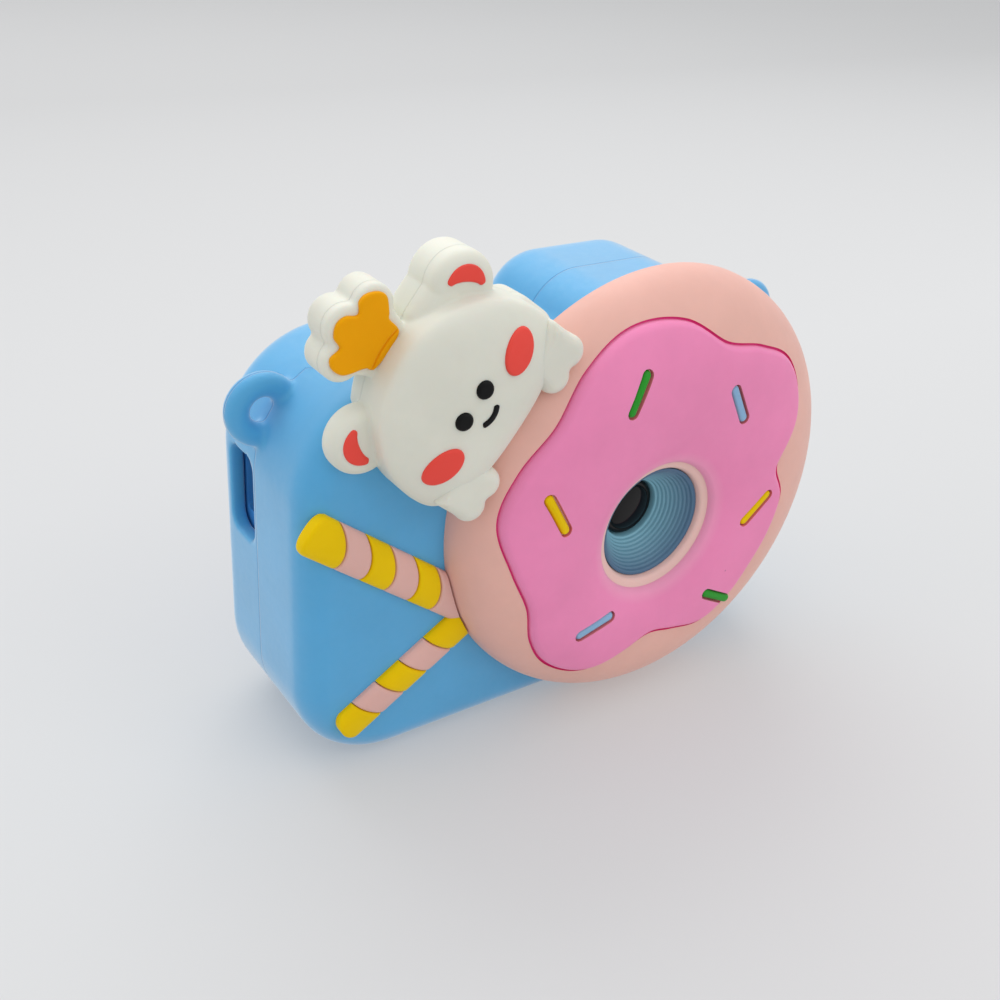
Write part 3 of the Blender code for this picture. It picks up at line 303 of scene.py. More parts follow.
# lens funnel: painted light and shade, lighter towards the lens and darker at the mouth
SLATE = plastic("slate_plastic", rgb(66, 100, 132), 0.42, inner=rgb(134, 190, 206))
TEAL = plastic("teal_plastic", rgb(66, 144, 214), 0.38)
SHELL_WHITE = plastic("white_plastic", rgb(236, 238, 238), 0.3, 0.2)
KEY_BLUE = plastic("blue_plastic", rgb(100, 172, 222), 0.28, 0.3)
KEY_PINK = plastic("pink_plastic", rgb(238, 128, 178), 0.28, 0.3)
GLOSS_BLACK = plastic("black_plastic", rgb(9, 8, 9), 0.16, 0.0, spec=0.22)
DARK = plastic("dark_plastic", rgb(46, 48, 50), 0.5)
BOARD = plastic("circuit_board", rgb(20, 96, 58), 0.45)
STEEL = plastic("bright_steel", rgb(190, 192, 196), 0.28, 0.0, 1.0)
WRAP = plastic("battery_wrap", rgb(188, 190, 196), 0.4)
GLASS = plastic("lens_glass_look", rgb(12, 10, 11), 0.05, 0.0, bump=0.0, spec=0.22)
SCREEN = plastic("screen_glass_look", rgb(16, 17, 20), 0.06, 1.0, bump=0.0)


# ---- outlines (layout millimetres, X-Z plane) ------------------------------
def arc(centre, radius, start, end, steps):
    """Points on a circle, angles in degrees."""
    out = []
    for i in range(steps + 1):
        a = math.radians(start + (end - start) * i / steps)
        out.append((centre[0] + radius * math.cos(a), centre[1] + radius * math.sin(a)))
    return out


def body_outline(inset=0.0, hump=True, k=3):
    """The sleeve's front view, moved inwards; the hump carries the shutter button."""
    low, high = BOTTOM_CORNER, TOP_CORNER
    points = arc((LEFT_END + low, low), low - inset, 180, 270, 7 * k)
    points += arc((RIGHT_END - low, low), low - inset, 270, 360, 7 * k)
    shoulder = (RIGHT_END - high, HEIGHT - high)
    if hump:
        rise = 12.0 * (1 - math.cos(math.radians(60)))
        reach = 12.0 * math.sin(math.radians(60))
        dip_z = HEIGHT + 3.0
        top_z = HEIGHT + rise - 9.0
        points += arc(shoulder, high - inset, 0, 72, 6 * k)
        fall = arc((21.0, top_z), 9.0 - inset, 60, 90, 3 * k)
        start = Vector(points[-1])
        end = Vector(fall[0])
        # gentle run from the shoulder up to the saddle, as a cubic
        a = math.radians(72)
        t0 = Vector((-math.sin(a), math.cos(a))) * 5.5
        t1 = Vector((-math.cos(math.radians(30)), math.sin(math.radians(30)))) * 5.5
        for i in range(1, 3 * k):
            t = i / (3 * k)
            h00, h10 = 2 * t ** 3 - 3 * t ** 2 + 1, t ** 3 - 2 * t ** 2 + t
            h01, h11 = -2 * t ** 3 + 3 * t ** 2, t ** 3 - t ** 2
            p = start * h00 + t0 * h10 + end * h01 + t1 * h11
            points.append((p.x, p.y))
        points += fall
        points += arc((9.0, top_z), 9.0 - inset, 90, 150, 5 * k)
        points += arc((9.0 - reach, dip_z), 3.0 + inset, -30, -90, 3 * k)[1:]
    else:
        points += arc(shoulder, high - inset, 0, 90, 7 * k)
    points += arc((LEFT_END + high, HEIGHT - high), high - inset, 90, 180, 7 * k)
    return points


def stadium(start, end, radius, steps=8):
    """Long outline with round ends."""
    a = math.degrees(math.atan2(end[1] - start[1], end[0] - start[0]))
    return arc(end, radius, a - 90, a + 90, steps) + arc(start, radius, a + 90, a + 270, steps)


def inset(outline, distance):
    """Every point moved inwards, square to its neighbours."""
    count = len(outline)
    moved = []
    for i, (x, z) in enumerate(outline):
        along = (Vector(outline[(i + 1) % count]) - Vector(outline[i - 1])).normalized()
        moved.append((x - along.y * distance, z + along.x * distance))
    return moved


# ---- surfaces --------------------------------------------------------------
def ring_profile(s):
    """Height of the ring's front at s, from 0 on its rim to 1 on the lens hole."""
    if s < CREST:
        return RISE * math.sqrt(max(1 - ((CREST - s) / CREST) ** 2, 0.0))
    return RISE - LIP_DROP * ((s - CREST) / (1 - CREST)) ** 3


def ring_depth(x, z):
    """Height of the ring's front over a point, between two circles of different centre."""
    q = Vector((x - RING[0], z - RING[1]))
    shift = Vector((LENS[0] - RING[0], LENS[1] - RING[1]))
    narrow = HOLE_R - RING_R
    a = shift.length_squared - narrow * narrow
    b = -2 * (q.dot(shift) + RING_R * narrow)
    c = q.length_squared - RING_R ** 2
    root = math.sqrt(max(b * b - 4 * a * c, 0.0))
    s = (-b - root) / (2 * a)
    if not -0.3 < s < 1.4:
        s = (-b + root) / (2 * a)
    return ring_profile(min(max(s, 0.0), 1.0))


def icing_top(x, z):
    return ring_depth(x, z) + ICING_RISE


# ---- mesh builders ---------------------------------------------------------
def finish_mesh(name, bm, material, body="camera", replaces=(), smooth=True, angle=50):
    """Turn a layout mesh into a placed object that rides a body and replaces CAD nodes."""
    bmesh.ops.recalc_face_normals(bm, faces=bm.faces)
    bmesh.ops.transform(bm, matrix=Matrix.Translation(ORIGIN) @ Matrix.Scale(MM, 4), verts=bm.verts)
    mesh = bpy.data.meshes.new(name)
    bm.to_mesh(mesh)
    bm.free()
    if smooth:
        mesh.shade_smooth()
        mesh.set_sharp_from_angle(angle=math.radians(angle))
    obj = bpy.data.objects.new(name, mesh)
    bpy.context.scene.collection.objects.link(obj)
    if material is not None:
        mesh.materials.append(material)
    if body:
        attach(obj, body)
    if replaces:
        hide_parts(*replaces)
    return obj


def strip(rings, closed_path=False):
    """Skin through rings of equal length, capped at both ends or closed on itself."""
    bm = bmesh.new()
    loops = [[bm.verts.new(p) for p in ring] for ring in rings]
    count = len(rings[0])
    pairs = list(zip(loops, loops[1:]))
    if closed_path:
        pairs.append((loops[-1], loops[0]))
    for low, high in pairs:
        for i in range(count):
            j = (i + 1) % count
            bm.faces.new((low[i], low[j], high[j], high[i]))
    if not closed_path:
        bm.faces.new(list(reversed(loops[0])))
        bm.faces.new(loops[-1])
    return bm


def cushion_rings(outline, back, front, edge, surface=None, rings=5, fill=(0.75, 0.5, 0.25)):
    """Levels of a flat-backed piece with a rounded rim, draped over a surface if given."""
    centre = Vector((sum(p[0] for p in outline) / len(outline), sum(p[1] for p in outline) / len(outline)))
    lift = surface or (lambda x, z: 0.0)
    levels = [[(x, back - lift(x, z), z) for x, z in outline]]
    for i in range(rings + 1):
        a = math.pi / 2 * i / rings
        shrunk = inset(outline, edge * (1 - math.cos(a)))
        depth = front + edge * (1 - math.sin(a))
        levels.append([(x, depth - lift(x, z), z) for x, z in shrunk])
    inner = inset(outline, edge)
    for scale in fill:
        ring = []
        for x, z in inner:
            px = centre.x + (x - centre.x) * scale
            pz = centre.y + (z - centre.y) * scale
            ring.append((px, front - lift(px, pz), pz))
        levels.append(ring)
    return levels


def plain(name, bm):
    """A helper object for booleans, in layout millimetres."""
    return finish_mesh(name, bm, None, None, (), False)


def prism(outline, front, back):
    return strip([[(x, back, z) for x, z in outline], [(x, front, z) for x, z in outline]])


def cut(target, tool):
    """Take a helper shape away at once."""
    modifier = target.modifiers.new("cut", "BOOLEAN")
    modifier.operation = "DIFFERENCE"
    modifier.solver = "EXACT"
    modifier.object = tool
    bake(target)
    bpy.data.objects.remove(tool, do_unlink=True)


def bake(obj):
    """Apply an object's modifiers."""
    bpy.context.view_layer.update()
    graph = bpy.context.evaluated_depsgraph_get()
    mesh = bpy.data.meshes.new_from_object(obj.evaluated_get(graph))
    mesh.name = obj.name
    obj.modifiers.clear()
    old = obj.data
    obj.data = mesh
    bpy.data.meshes.remove(old)


def soften(obj, voxel, passes):
    """Fuse and round a moulded shape."""
    remesh = obj.modifiers.new("fuse", "REMESH")
    remesh.mode = "VOXEL"
    remesh.voxel_size = voxel * MM
    remesh.use_smooth_shade = True
    smooth = obj.modifiers.new("round", "SMOOTH")
    smooth.factor = 0.5
    smooth.iterations = passes
    bake(obj)
    obj.data.shade_smooth()


def join(objects, name):
    """One object from several; the parts may overlap."""
    bm = bmesh.new()
    for obj in objects:
        bm.from_mesh(obj.data)
        bpy.data.objects.remove(obj, do_unlink=True)
    mesh = bpy.data.meshes.new(name)
    bm.to_mesh(mesh)
    bm.free()
    out = bpy.data.objects.new(name, mesh)
    bpy.context.scene.collection.objects.link(out)
    return out


def torus(centre, major, minor, steps=64, sides=28):
    rings = []
    for i in range(steps):
        a = 2 * math.pi * i / steps
        ring = []
        for j in range(sides):
            b = 2 * math.pi * j / sides
            r = major + minor * math.cos(b)
            ring.append((centre[0] + r * math.cos(a), centre[1] + minor * math.sin(b),
                         centre[2] + r * math.sin(a)))
        rings.append(ring)
    return strip(rings, closed_path=True)


def turned(name, profile, centre, material, axis="-Y", steps=96, replaces=(), body="camera"):
    """Profile (radius, height) in layout millimetres, turned round an axis."""
    rings = []
    for i in range(steps):
        a = 2 * math.pi * i / steps
        ring = []
        for r, h in profile:
            u, v = r * math.cos(a), r * math.sin(a)
            ring.append({"-Y": (u, -h, v), "+Y": (u, h, v), "+Z": (u, v, h)}[axis])
        rings.append([tuple(Vector(p) + Vector(centre)) for p in ring])
    bm = bmesh.new()
    loops = [[bm.verts.new(p) for p in ring] for ring in rings]
    for i in range(steps):
        here, there = loops[i], loops[(i + 1) % steps]
        for j in range(len(profile) - 1):
            bm.faces.new((here[j], there[j], there[j + 1], here[j + 1]))
    bmesh.ops.remove_doubles(bm, verts=bm.verts, dist=1e-4)
    return finish_mesh(name, bm, material, body, replaces, True, 40)


# ---- sleeve ----------------------------------------------------------------
def body_levels(levels, hump=True, k=3):
    """Sleeve outline repeated at (inset, depth) levels."""
    return strip([[(x, y, z) for x, z in body_outline(d, hump, k)] for d, y in levels])


ROUND_STEPS = 8
skin = []
for i in range(ROUND_STEPS + 1):
    a = math.pi / 2 * i / ROUND_STEPS
    skin.append((FRONT_ROUND * (1 - math.sin(a)), FRONT_ROUND * (1 - math.cos(a))))
for i in range(ROUND_STEPS + 1):
    a = math.pi / 2 * i / ROUND_STEPS
    skin.append((BACK_ROUND * (1 - math.cos(a)), DEPTH - BACK_ROUND + BACK_ROUND * math.sin(a)))
block = plain("sleeve_block", body_levels(skin))
cavity = ((SLEEVE_WALL + 1.2, SLEEVE_WALL), (SLEEVE_WALL, 3.2), (SLEEVE_WALL, 27.4), (3.0, CAVITY_BACK))
cut(block, plain("cavity", body_levels(cavity, False, 2)))
cut(block, plain("opening", body_levels(((REAR_LIP, 26.0), (REAR_LIP, 33.0)), False, 3)))
cut(block, plain("lens_port", prism(arc(LENS, HOLE_R, 0, 354, 59), -2, 4)))
shape = arc((21.8, 45.0), WINDOW_ROUND, 0, 90, 6) + arc((18.3, 45.0), WINDOW_ROUND, 90, 180, 6)
shape += arc((18.3, 35.0), WINDOW_ROUND, 180, 270, 6) + arc((21.8, 35.0), WINDOW_ROUND, 270, 360, 6)
cut(block, plain("window", strip([[(x, y, z) for y, z in shape] for x in (-50.0, -40.5)])))
for node in ("shutter_button", "power_button"):
    c = local(node)
    r = size(node).x / 2 / MM - TOP_KEY_FLANGE + 0.6
    turns = [t * math.pi / 24 for t in range(48)]
    hole = [[(c.x + r * math.cos(t), c.y + r * math.sin(t), z) for t in turns]
            for z in (HEIGHT - 4, HEIGHT + 4)]
    cut(block, plain("port", strip(hole)))
loops = [plain("loop", torus((x, SEAM_Y, z), 3.72, 1.83)) for x, z in LOOPS]
for loop in loops:
    cut(loop, plain("inner", body_levels(((SLEEVE_WALL, SLEEVE_WALL), (SLEEVE_WALL, CAVITY_BACK)), False, 2)))
sleeve = join([block] + loops, "sleeve")
soften(sleeve, 0.42, 5)
sleeve.data.materials.append(BLUE)
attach(sleeve, "camera")
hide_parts("silicone_sleeve")


# ---- ring, icing, sprinkles ------------------------------------------------
def ring_mesh(steps=200, crest_steps=18, tail=16):
    """Domed ring between its round rim and the off-centre lens hole."""
    sections = []
    for i in range(steps):
        a = 2 * math.pi * i / steps
        ray = Vector((math.cos(a), math.sin(a)))
        rim = Vector(RING) + ray * RING_R
        bore = Vector(LENS) + ray * HOLE_R
        section = [(rim.lerp(bore, 0.02), 0.9), (rim, 0.6)]
        for k in range(crest_steps):
            turn = math.pi / 2 * k / crest_steps
            section.append((rim.lerp(bore, CREST * (1 - math.cos(turn))), -RISE * math.sin(turn)))
        for k in range(tail):
            s = CREST + (0.965 - CREST) * k / (tail - 1)
            section.append((rim.lerp(bore, s), -ring_profile(s)))
        edge = -ring_profile(0.965)
        for k in range(1, 6):
            turn = math.pi / 2 * k / 5
            p = rim.lerp(bore, 0.965 + 0.035 * math.sin(turn))
            section.append((p, edge + 0.7 * (1 - math.cos(turn))))
        near = Vector(LENS) + ray * 9.38
        section.append((near, -6.6))
        section.append((near, 0.9))
        sections.append([(p.x, y, p.y) for p, y in section])
    return strip(sections, closed_path=True)


def icing_edge(angle):
    """Radius of the wavy edge: a smooth closed curve through ICING_RADII."""
    count = len(ICING_RADII)
    place = (angle / (2 * math.pi) * count) % count
    i = int(place)
    t = place - i
    p0, p1, p2, p3 = (ICING_RADII[(i + k) % count] for k in (-1, 0, 1, 2))
    return p1 + 0.5 * t * (p2 - p0 + t * (2 * p0 - 5 * p1 + 4 * p2 - p3 + t * (3 * (p1 - p2) + p3 - p0)))


def icing_mesh(grow=0.0, root=1.1, cutter=False, steps=240):
    """The icing as a closed ring, or the slightly wider cutter of its seat."""
    sections = []
    for i in range(steps):
        a = 2 * math.pi * i / steps
        inner = ICING_INNER + (0.06 if cutter else 0.0)
        outer = icing_edge(a) + grow
        width = outer - inner
        edge = 0.9
        profile = []
        if cutter:
            profile += [(inner, 2.0), (outer, 2.0)]
        else:
            for k in range(7):
                t = math.pi / 2 * k / 6
                profile.append((inner + edge * (1 - math.cos(t)), ICING_RISE - edge + edge * math.sin(t)))
            profile += [(inner + edge + (width - 2 * edge) * f, ICING_RISE) for f in
                        (0.08, 0.16, 0.25, 0.34, 0.43, 0.52, 0.61, 0.7, 0.79, 0.87, 0.94)]
            for k in range(6, -1, -1):
                t = math.pi / 2 * k / 6
                profile.append((outer - edge * (1 - math.cos(t)), ICING_RISE - edge + edge * math.sin(t)))
        profile += [(outer - width * f, -root) for f in (0.0, 0.2, 0.4, 0.6, 0.8, 1.0)]
        section = []
        for radius, lift in profile:
            x = LENS[0] + radius * math.cos(a)
            z = LENS[1] + radius * math.sin(a)
            section.append((x, -ring_depth(x, z) - lift, z))
        sections.append(section)
    return strip(sections, closed_path=True)


def tinted(tool, material):
    """Seat cutter whose walls take a darker colour of their own: painted shade in the groove."""
    tool.data.materials.append(material)
    tool.data.materials.append(material)
    for face in tool.data.polygons:
        face.material_index = 1
    return tool


ring = finish_mesh("ring", ring_mesh(), CREAM, "camera", ("donut_ring",), True, 60)
ring.data.materials.append(ROSE)
cut(ring, tinted(plain("icing_seat", icing_mesh(0.42, 0.45, True)), ROSE))
icing = finish_mesh("icing", icing_mesh(), PINK, "camera", ("donut_icing",), True, 60)
icing.data.materials.append(WINE)
SPRINKLES = (
    ("sprinkle_green_top", (3.2, 61.3), (1.0, 56.1), GREEN),
    ("sprinkle_blue_top", (21.1, 55.7), (24.0, 50.5), SKY),
    ("sprinkle_yellow_left", (-12.2, 45.3), (-8.9, 39.6), YELLOW),
    ("sprinkle_yellow_right", (32.9, 34.7), (28.8, 30.8), YELLOW),
    ("sprinkle_blue_bottom", (2.1, 20.7), (-3.8, 19.3), SKY),
    ("sprinkle_green_bottom", (22.7, 18.5), (27.9, 15.8), GREEN),
)
for node, start, end, material in SPRINKLES:
    slot = cushion_rings(stadium(start, end, 1.0, 8), 0.9, -2.5, 0.1, icing_top, 1, (0.5,))
    cut(icing, tinted(plain("slot", strip(slot)), WINE))
    grain = cushion_rings(stadium(start, end, 0.75, 8), 0.8, 0.05, 0.5, icing_top, 4, (0.5,))
    finish_mesh(node + "_look", strip(grain), material, "camera", (node,), True, 60)
for obj in (ring, icing):
    obj.data.shade_smooth()
    obj.data.set_sharp_from_angle(angle=math.radians(50))


# ---- bear ------------------------------------------------------------------
EYES = (local("eye_left"), local("eye_right"))
TILT = math.atan2(EYES[1].z - EYES[0].z, EYES[1].x - EYES[0].x)
BEAR = ((EYES[0].x + EYES[1].x) / 2, (EYES[0].z + EYES[1].z) / 2)
BEAR = (BEAR[0] + 1.7 * math.sin(TILT), BEAR[1] - 1.7 * math.cos(TILT))
HEAD = {"half": 15.2, "middle": -3.0, "up": 15.4, "down": 6.9, "wall": 4.2, "dome": 4.6, "back": 3.9}


def bear_point(u, v):
    """Layout point of (across, up) in the tilted head's own directions."""
    return (BEAR[0] + u * math.cos(TILT) - v * math.sin(TILT),
            BEAR[1] + u * math.sin(TILT) + v * math.cos(TILT))


def bear_outline(points):
    return [bear_point(u, v) for u, v in points]


def head_depth(x, z):
    """Height of the face over a point."""
    dx, dz = x - BEAR[0], z - BEAR[1]
    u = dx * math.cos(TILT) + dz * math.sin(TILT)
    v = dz * math.cos(TILT) - dx * math.sin(TILT) - HEAD["middle"]
    s = math.hypot(u / HEAD["half"], v / (HEAD["up"] if v > 0 else HEAD["down"]))
    return HEAD["wall"] + HEAD["dome"] * math.sqrt(max(1 - s ** 2.6, 0.0))


def head_rings(steps=120):
    def ring(scale, depth):
        points = []
        for i in range(steps):
            a = 2 * math.pi * i / steps
            c, s = math.cos(a), math.sin(a)
            if s < 0:
                c, s = math.copysign(abs(c) ** 0.8, c), -abs(s) ** 0.8
            up = HEAD["up"] if s > 0 else HEAD["down"]
            x, z = bear_point(HEAD["half"] * scale * c, HEAD["middle"] + up * scale * s)
            points.append((x, depth, z))
        return points

    rings = [ring(0.96, HEAD["back"]), ring(0.99, HEAD["back"] - 0.2), ring(1.0, HEAD["back"] - 0.8)]
    for k in range(22):
        t = math.radians(88) * k / 21
        s = math.cos(t) ** 0.77
        rings.append(ring(s, -HEAD["wall"] - HEAD["dome"] * math.sin(t)))
    return rings


def rounded_prism(outline, front, back, round_front, round_back, steps=6):
    """Flat outline with rounded front and back rims."""
    levels = []
    for k in range(steps + 1):
        t = math.pi / 2 * k / steps
        shape = inset(outline, round_back * (1 - math.sin(t)))
        levels.append([(x, back - round_back * (1 - math.cos(t)), z) for x, z in shape])
    for k in range(steps + 1):
        t = math.pi / 2 * k / steps
        shape = inset(outline, round_front * (1 - math.cos(t)))
        levels.append([(x, front + round_front * (1 - math.sin(t)), z) for x, z in shape])
    return strip(levels)


def union_outline(centre, circles, polygon, border, steps):
    """Outline of circles and a polygon together, seen from a centre."""
    outline = []
    for i in range(steps):
        a = 2 * math.pi * i / steps
        ray = Vector((math.cos(a), math.sin(a)))
        reach = 0.0
        for cu, cv, radius in circles:
            offset = Vector((cu - centre[0], cv - centre[1]))
            along = offset.dot(ray)
            miss = offset.length_squared - along * along
            if miss < (radius + border) ** 2:
                reach = max(reach, along + math.sqrt((radius + border) ** 2 - miss))
        for j, corner in enumerate(polygon):
            start = Vector(corner) - Vector(centre)
            side = Vector(polygon[(j + 1) % len(polygon)]) - Vector(corner)
            cross = ray.x * side.y - ray.y * side.x
            if abs(cross) > 1e-9:
                distance = (start.x * side.y - start.y * side.x) / cross
                part = (start.x * ray.y - start.y * ray.x) / cross
                if distance > 0 and 0 <= part <= 1:
                    reach = max(reach, distance + border)
        outline.append((centre[0] + reach * ray.x, centre[1] + reach * ray.y))
    return outline


def smooth_closed(points, steps):
    """Smooth closed curve through the given points."""
    count = len(points)
    outline = []
    for i in range(count):
        before, start, end, after = (Vector(points[(i + k) % count]) for k in (-1, 0, 1, 2))
        for step in range(steps):
            t = step / steps
            outline.append(0.5 * (2 * start + (end - before) * t
                                  + (2 * before - 5 * start + 4 * end - after) * t ** 2
                                  + (3 * start - before - 3 * end + after) * t ** 3))
    return [(q.x, q.y) for q in outline]


def eased(outline, passes=2):
    """Round the corners of a closed outline a little."""
    for _ in range(passes):
        count = len(outline)
        corners = [Vector(p) for p in outline]
        outline = [tuple((corners[i - 1] + corners[i] * 2 + corners[(i + 1) % count]) / 4)
                   for i in range(count)]
    return outline


EAR_U, EAR_V, EAR_RADIUS = 11.9, 7.9, 4.9
EAR_FRONT, EAR_ROUND = -2.2, 1.9
BACK_RIM = 0.6
# blocks behind the head: limits across and up, front, back, front rounding
BLOCKS = (
    ((8.0, -10.4, 15.9, 0.3), -2.0, 5.0, 2.2),
    ((2.1, 3.1, 12.4, 12.1), -2.4, 5.2, 2.6),
)
BLOCK_CORNER = 3.5
CROWN_BORDER = 1.15
CROWN_BACKING_FRONT = -0.75
CROWN_FRONT = -1.3
CROWN_SEAM = ((-0.1, 2.9), 10.46, 0.15)   # centre, radius and half width
CHEEK = {"u": 9.0, "v": -0.2, "long": 3.2, "short": 2.2, "tilt": math.radians(12)}
EYE_U, EYE_V, EYE_RADIUS = 2.45, 1.7, 1.3
SMILE_CENTRE, SMILE_RADIUS, SMILE_HALF_WIDTH = (0.0, 0.6), 2.5, 0.42
PAW_FRONT = -7.9
CROWN_CENTRE = (-0.3, 15.4)
CROWN_LOBES = ((-4.4, 16.8, 1.7), (-0.5, 18.8, 1.95), (3.7, 17.3, 1.7))
CROWN_BAND = ((-3.2, 12.1), (2.7, 12.1), (3.9, 15.9), (-4.4, 15.9))
parts = [plain("head_core", strip(head_rings()))]
for side, back in ((-1, 1.3), (1, 5.1)):
    rim = arc(bear_point(side * EAR_U, EAR_V), EAR_RADIUS, 0, 354, 59)
    parts.append(plain("ear", rounded_prism(rim, EAR_FRONT, back, EAR_ROUND, BACK_RIM)))
backing = eased(bear_outline(union_outline(CROWN_CENTRE, CROWN_LOBES, CROWN_BAND, CROWN_BORDER, 160)), 2)
parts.append(plain("backing", rounded_prism(backing, CROWN_BACKING_FRONT, 5.0, 0.8, BACK_RIM)))
for limits, front, back, rounding in BLOCKS:
    low_u, high_u = limits[0] + BLOCK_CORNER, limits[2] - BLOCK_CORNER
    low_v, high_v = limits[1] + BLOCK_CORNER, limits[3] - BLOCK_CORNER
    block = arc((high_u, high_v), BLOCK_CORNER, 0, 90, 12)
    block += arc((low_u, high_v), BLOCK_CORNER, 90, 180, 12)
    block += arc((low_u, low_v), BLOCK_CORNER, 180, 270, 12)
    block += arc((high_u, low_v), BLOCK_CORNER, 270, 360, 12)
    parts.append(plain("block", rounded_prism(bear_outline(block), front, back, rounding, BACK_RIM)))
head = join(parts, "bear_head_look")
soften(head, 0.22, 2)
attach(head, "camera")
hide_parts("bear_head")
head.data.materials.append(WHITE)

CROWN_LINE = ((-3.2, 12.6), (-1.3, 12.15), (0.9, 12.1), (2.8, 12.6), (3.3, 14.7), (4.1, 15.4),
              (5.5, 16.9), (5.4, 18.3), (4.3, 19.55), (3.0, 19.75), (1.6, 19.0), (0.6, 20.4),
              (-0.8, 20.9), (-2.4, 20.1), (-3.1, 18.6), (-4.8, 18.95), (-5.8, 18.0), (-5.9, 16.4),
              (-5.2, 15.3), (-4.2, 14.4), (-3.5, 13.6))
gold = bear_outline(smooth_closed(CROWN_LINE, 10))
crown = plain("crown_look", rounded_prism(gold, CROWN_FRONT, 0.2, 0.35, 0.05))
centre, radius, half = CROWN_SEAM
seam = arc(centre, radius + half, 62, 118, 30) + arc(centre, radius - half, 118, 62, 30)
cut(crown, plain("seam", prism(bear_outline(seam), -3.0, CROWN_FRONT + 0.3)))
soften(crown, 0.09, 1)
crown.data.materials.append(GOLD)
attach(crown, "camera")
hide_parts("bear_crown")


def oval(centre, long, short, tilt, steps=72):
    out = []
    for i in range(steps):
        a = 2 * math.pi * i / steps
        p, q = long * math.cos(a), short * math.sin(a)
        out.append((centre[0] + p * math.cos(tilt) - q * math.sin(tilt),
                    centre[1] + p * math.sin(tilt) + q * math.cos(tilt)))
    return out


def bean(side):
    """Half-round inner ear: an arc outside, a shallow hollow towards the head."""
    facing = math.radians(31 if side > 0 else 149)
    radius = 2.95
    turns = [math.radians(t) for t in range(-78, 79, 26)]
    points = [(radius * math.cos(t), radius * math.sin(t)) for t in turns]
    points += [(0.1, 2.35), (0.38, 1.6), (0.55, 0.8), (0.6, 0.0), (0.55, -0.8), (0.38, -1.6), (0.1, -2.35)]
    u, v = side * (EAR_U + 0.2), EAR_V + 0.4
    return [(u + a * math.cos(facing) - b * math.sin(facing),
             v + a * math.sin(facing) + b * math.cos(facing)) for a, b in points]


def inlay(name, rings, material, node):
    """Small coloured piece let into the bear."""
    finish_mesh(name, strip(rings), material, "camera", (node,), True, 60)


for side, label in ((-1, "left"), (1, "right")):
    shape = bear_outline(smooth_closed(bean(side), 8))
    inlay("inner_ear_look_" + label, cushion_rings(shape, -1.5, EAR_FRONT - 0.22, 0.25, None, 4), RED,
          "inner_ear_" + label)
    cheek = oval((side * CHEEK["u"], CHEEK["v"]), CHEEK["long"], CHEEK["short"], side * CHEEK["tilt"])
    inlay("cheek_look_" + label, cushion_rings(bear_outline(cheek), 0.6, -0.42, 0.4, head_depth, 6), RED,
          "cheek_" + label)
    eye = oval((side * EYE_U, EYE_V), EYE_RADIUS, EYE_RADIUS, 0, 48)
    inlay("eye_look_" + label, cushion_rings(bear_outline(eye), 0.6, -0.5, 0.5, head_depth, 6), BLACK,
          "eye_" + label)
smile = arc(SMILE_CENTRE, SMILE_RADIUS + SMILE_HALF_WIDTH, 228, 312, 24)
smile += arc(SMILE_CENTRE, SMILE_RADIUS - SMILE_HALF_WIDTH, 312, 228, 24)
smile = eased(bear_outline(smile), 2)
inlay("smile_look", cushion_rings(smile, 0.6, -0.25, 0.2, head_depth, 3, ()), BLACK, "bear_smile")

PAW_LOBES = {"right": ((8.9, -9.3, 2.4), (12.8, -8.9, 2.4)), "left": ((-8.3, -9.3, 2.4), (-12.0, -9.3, 2.4))}
PAW_ARMS = {"right": ((6.9, -9.0), (14.9, -8.6), (15.0, -3.5), (7.2, -3.5)),
            "left": ((-14.2, -9.0), (-6.2, -9.0), (-6.4, -3.5), (-14.0, -3.5))}
for label in ("left", "right"):
    arm = PAW_ARMS[label]
    core = (sum(p[0] for p in arm) / 4, sum(p[1] for p in arm) / 4)
    rim = eased(bear_outline(union_outline(core, PAW_LOBES[label], arm, 0.0, 180)), 3)
    paw = plain("paw_look_" + label, strip(cushion_rings(rim, 0.0, PAW_FRONT, 1.5, None, 8)))
    soften(paw, 0.2, 2)
    paw.data.materials.append(WHITE)
    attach(paw, "camera")
    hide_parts("paw_" + label)


# ---- striped horn and straw ------------------------------------------------
STICKS = (
    {"name": "horn_stripe", "direction": (0.795, -0.607), "offset": 7.85, "half": 3.15,
     "tip": -62.6, "round": 2.2, "power": 2.6, "skew": -1.75, "bow": -1.25,
     "seams": (-62.6, -55.6, -50.6, -45.7, -40.8, -35.9, -29.5)},
    {"name": "straw_stripe", "direction": (0.844, 0.536), "offset": 28.05, "half": 2.8,
     "tip": -29.4, "round": 2.2, "power": 2.0, "skew": -1.2, "bow": 0.3,
     "seams": (-29.4, -24.3, -19.7, -15.0, -10.1, -2.0)},
)


def stick_point(stick, along, across):
    """Layout point on a stick, across from -1 to 1."""
    d = stick["direction"]
    offset = stick["offset"] + across * stick["half"]
    return (d[0] * along - d[1] * offset, d[1] * along + d[0] * offset)


def stick_seam(stick, place, across):
    """Where a stripe's curved border lies; the first one is the rounded tip."""
    if place == stick["tip"]:
        power = stick["power"]
        return place + stick["round"] * (1 - max(1 - abs(0.97 * across) ** power, 0.0) ** (1 / power))
    return place + stick["skew"] * across + stick["bow"] * across * across


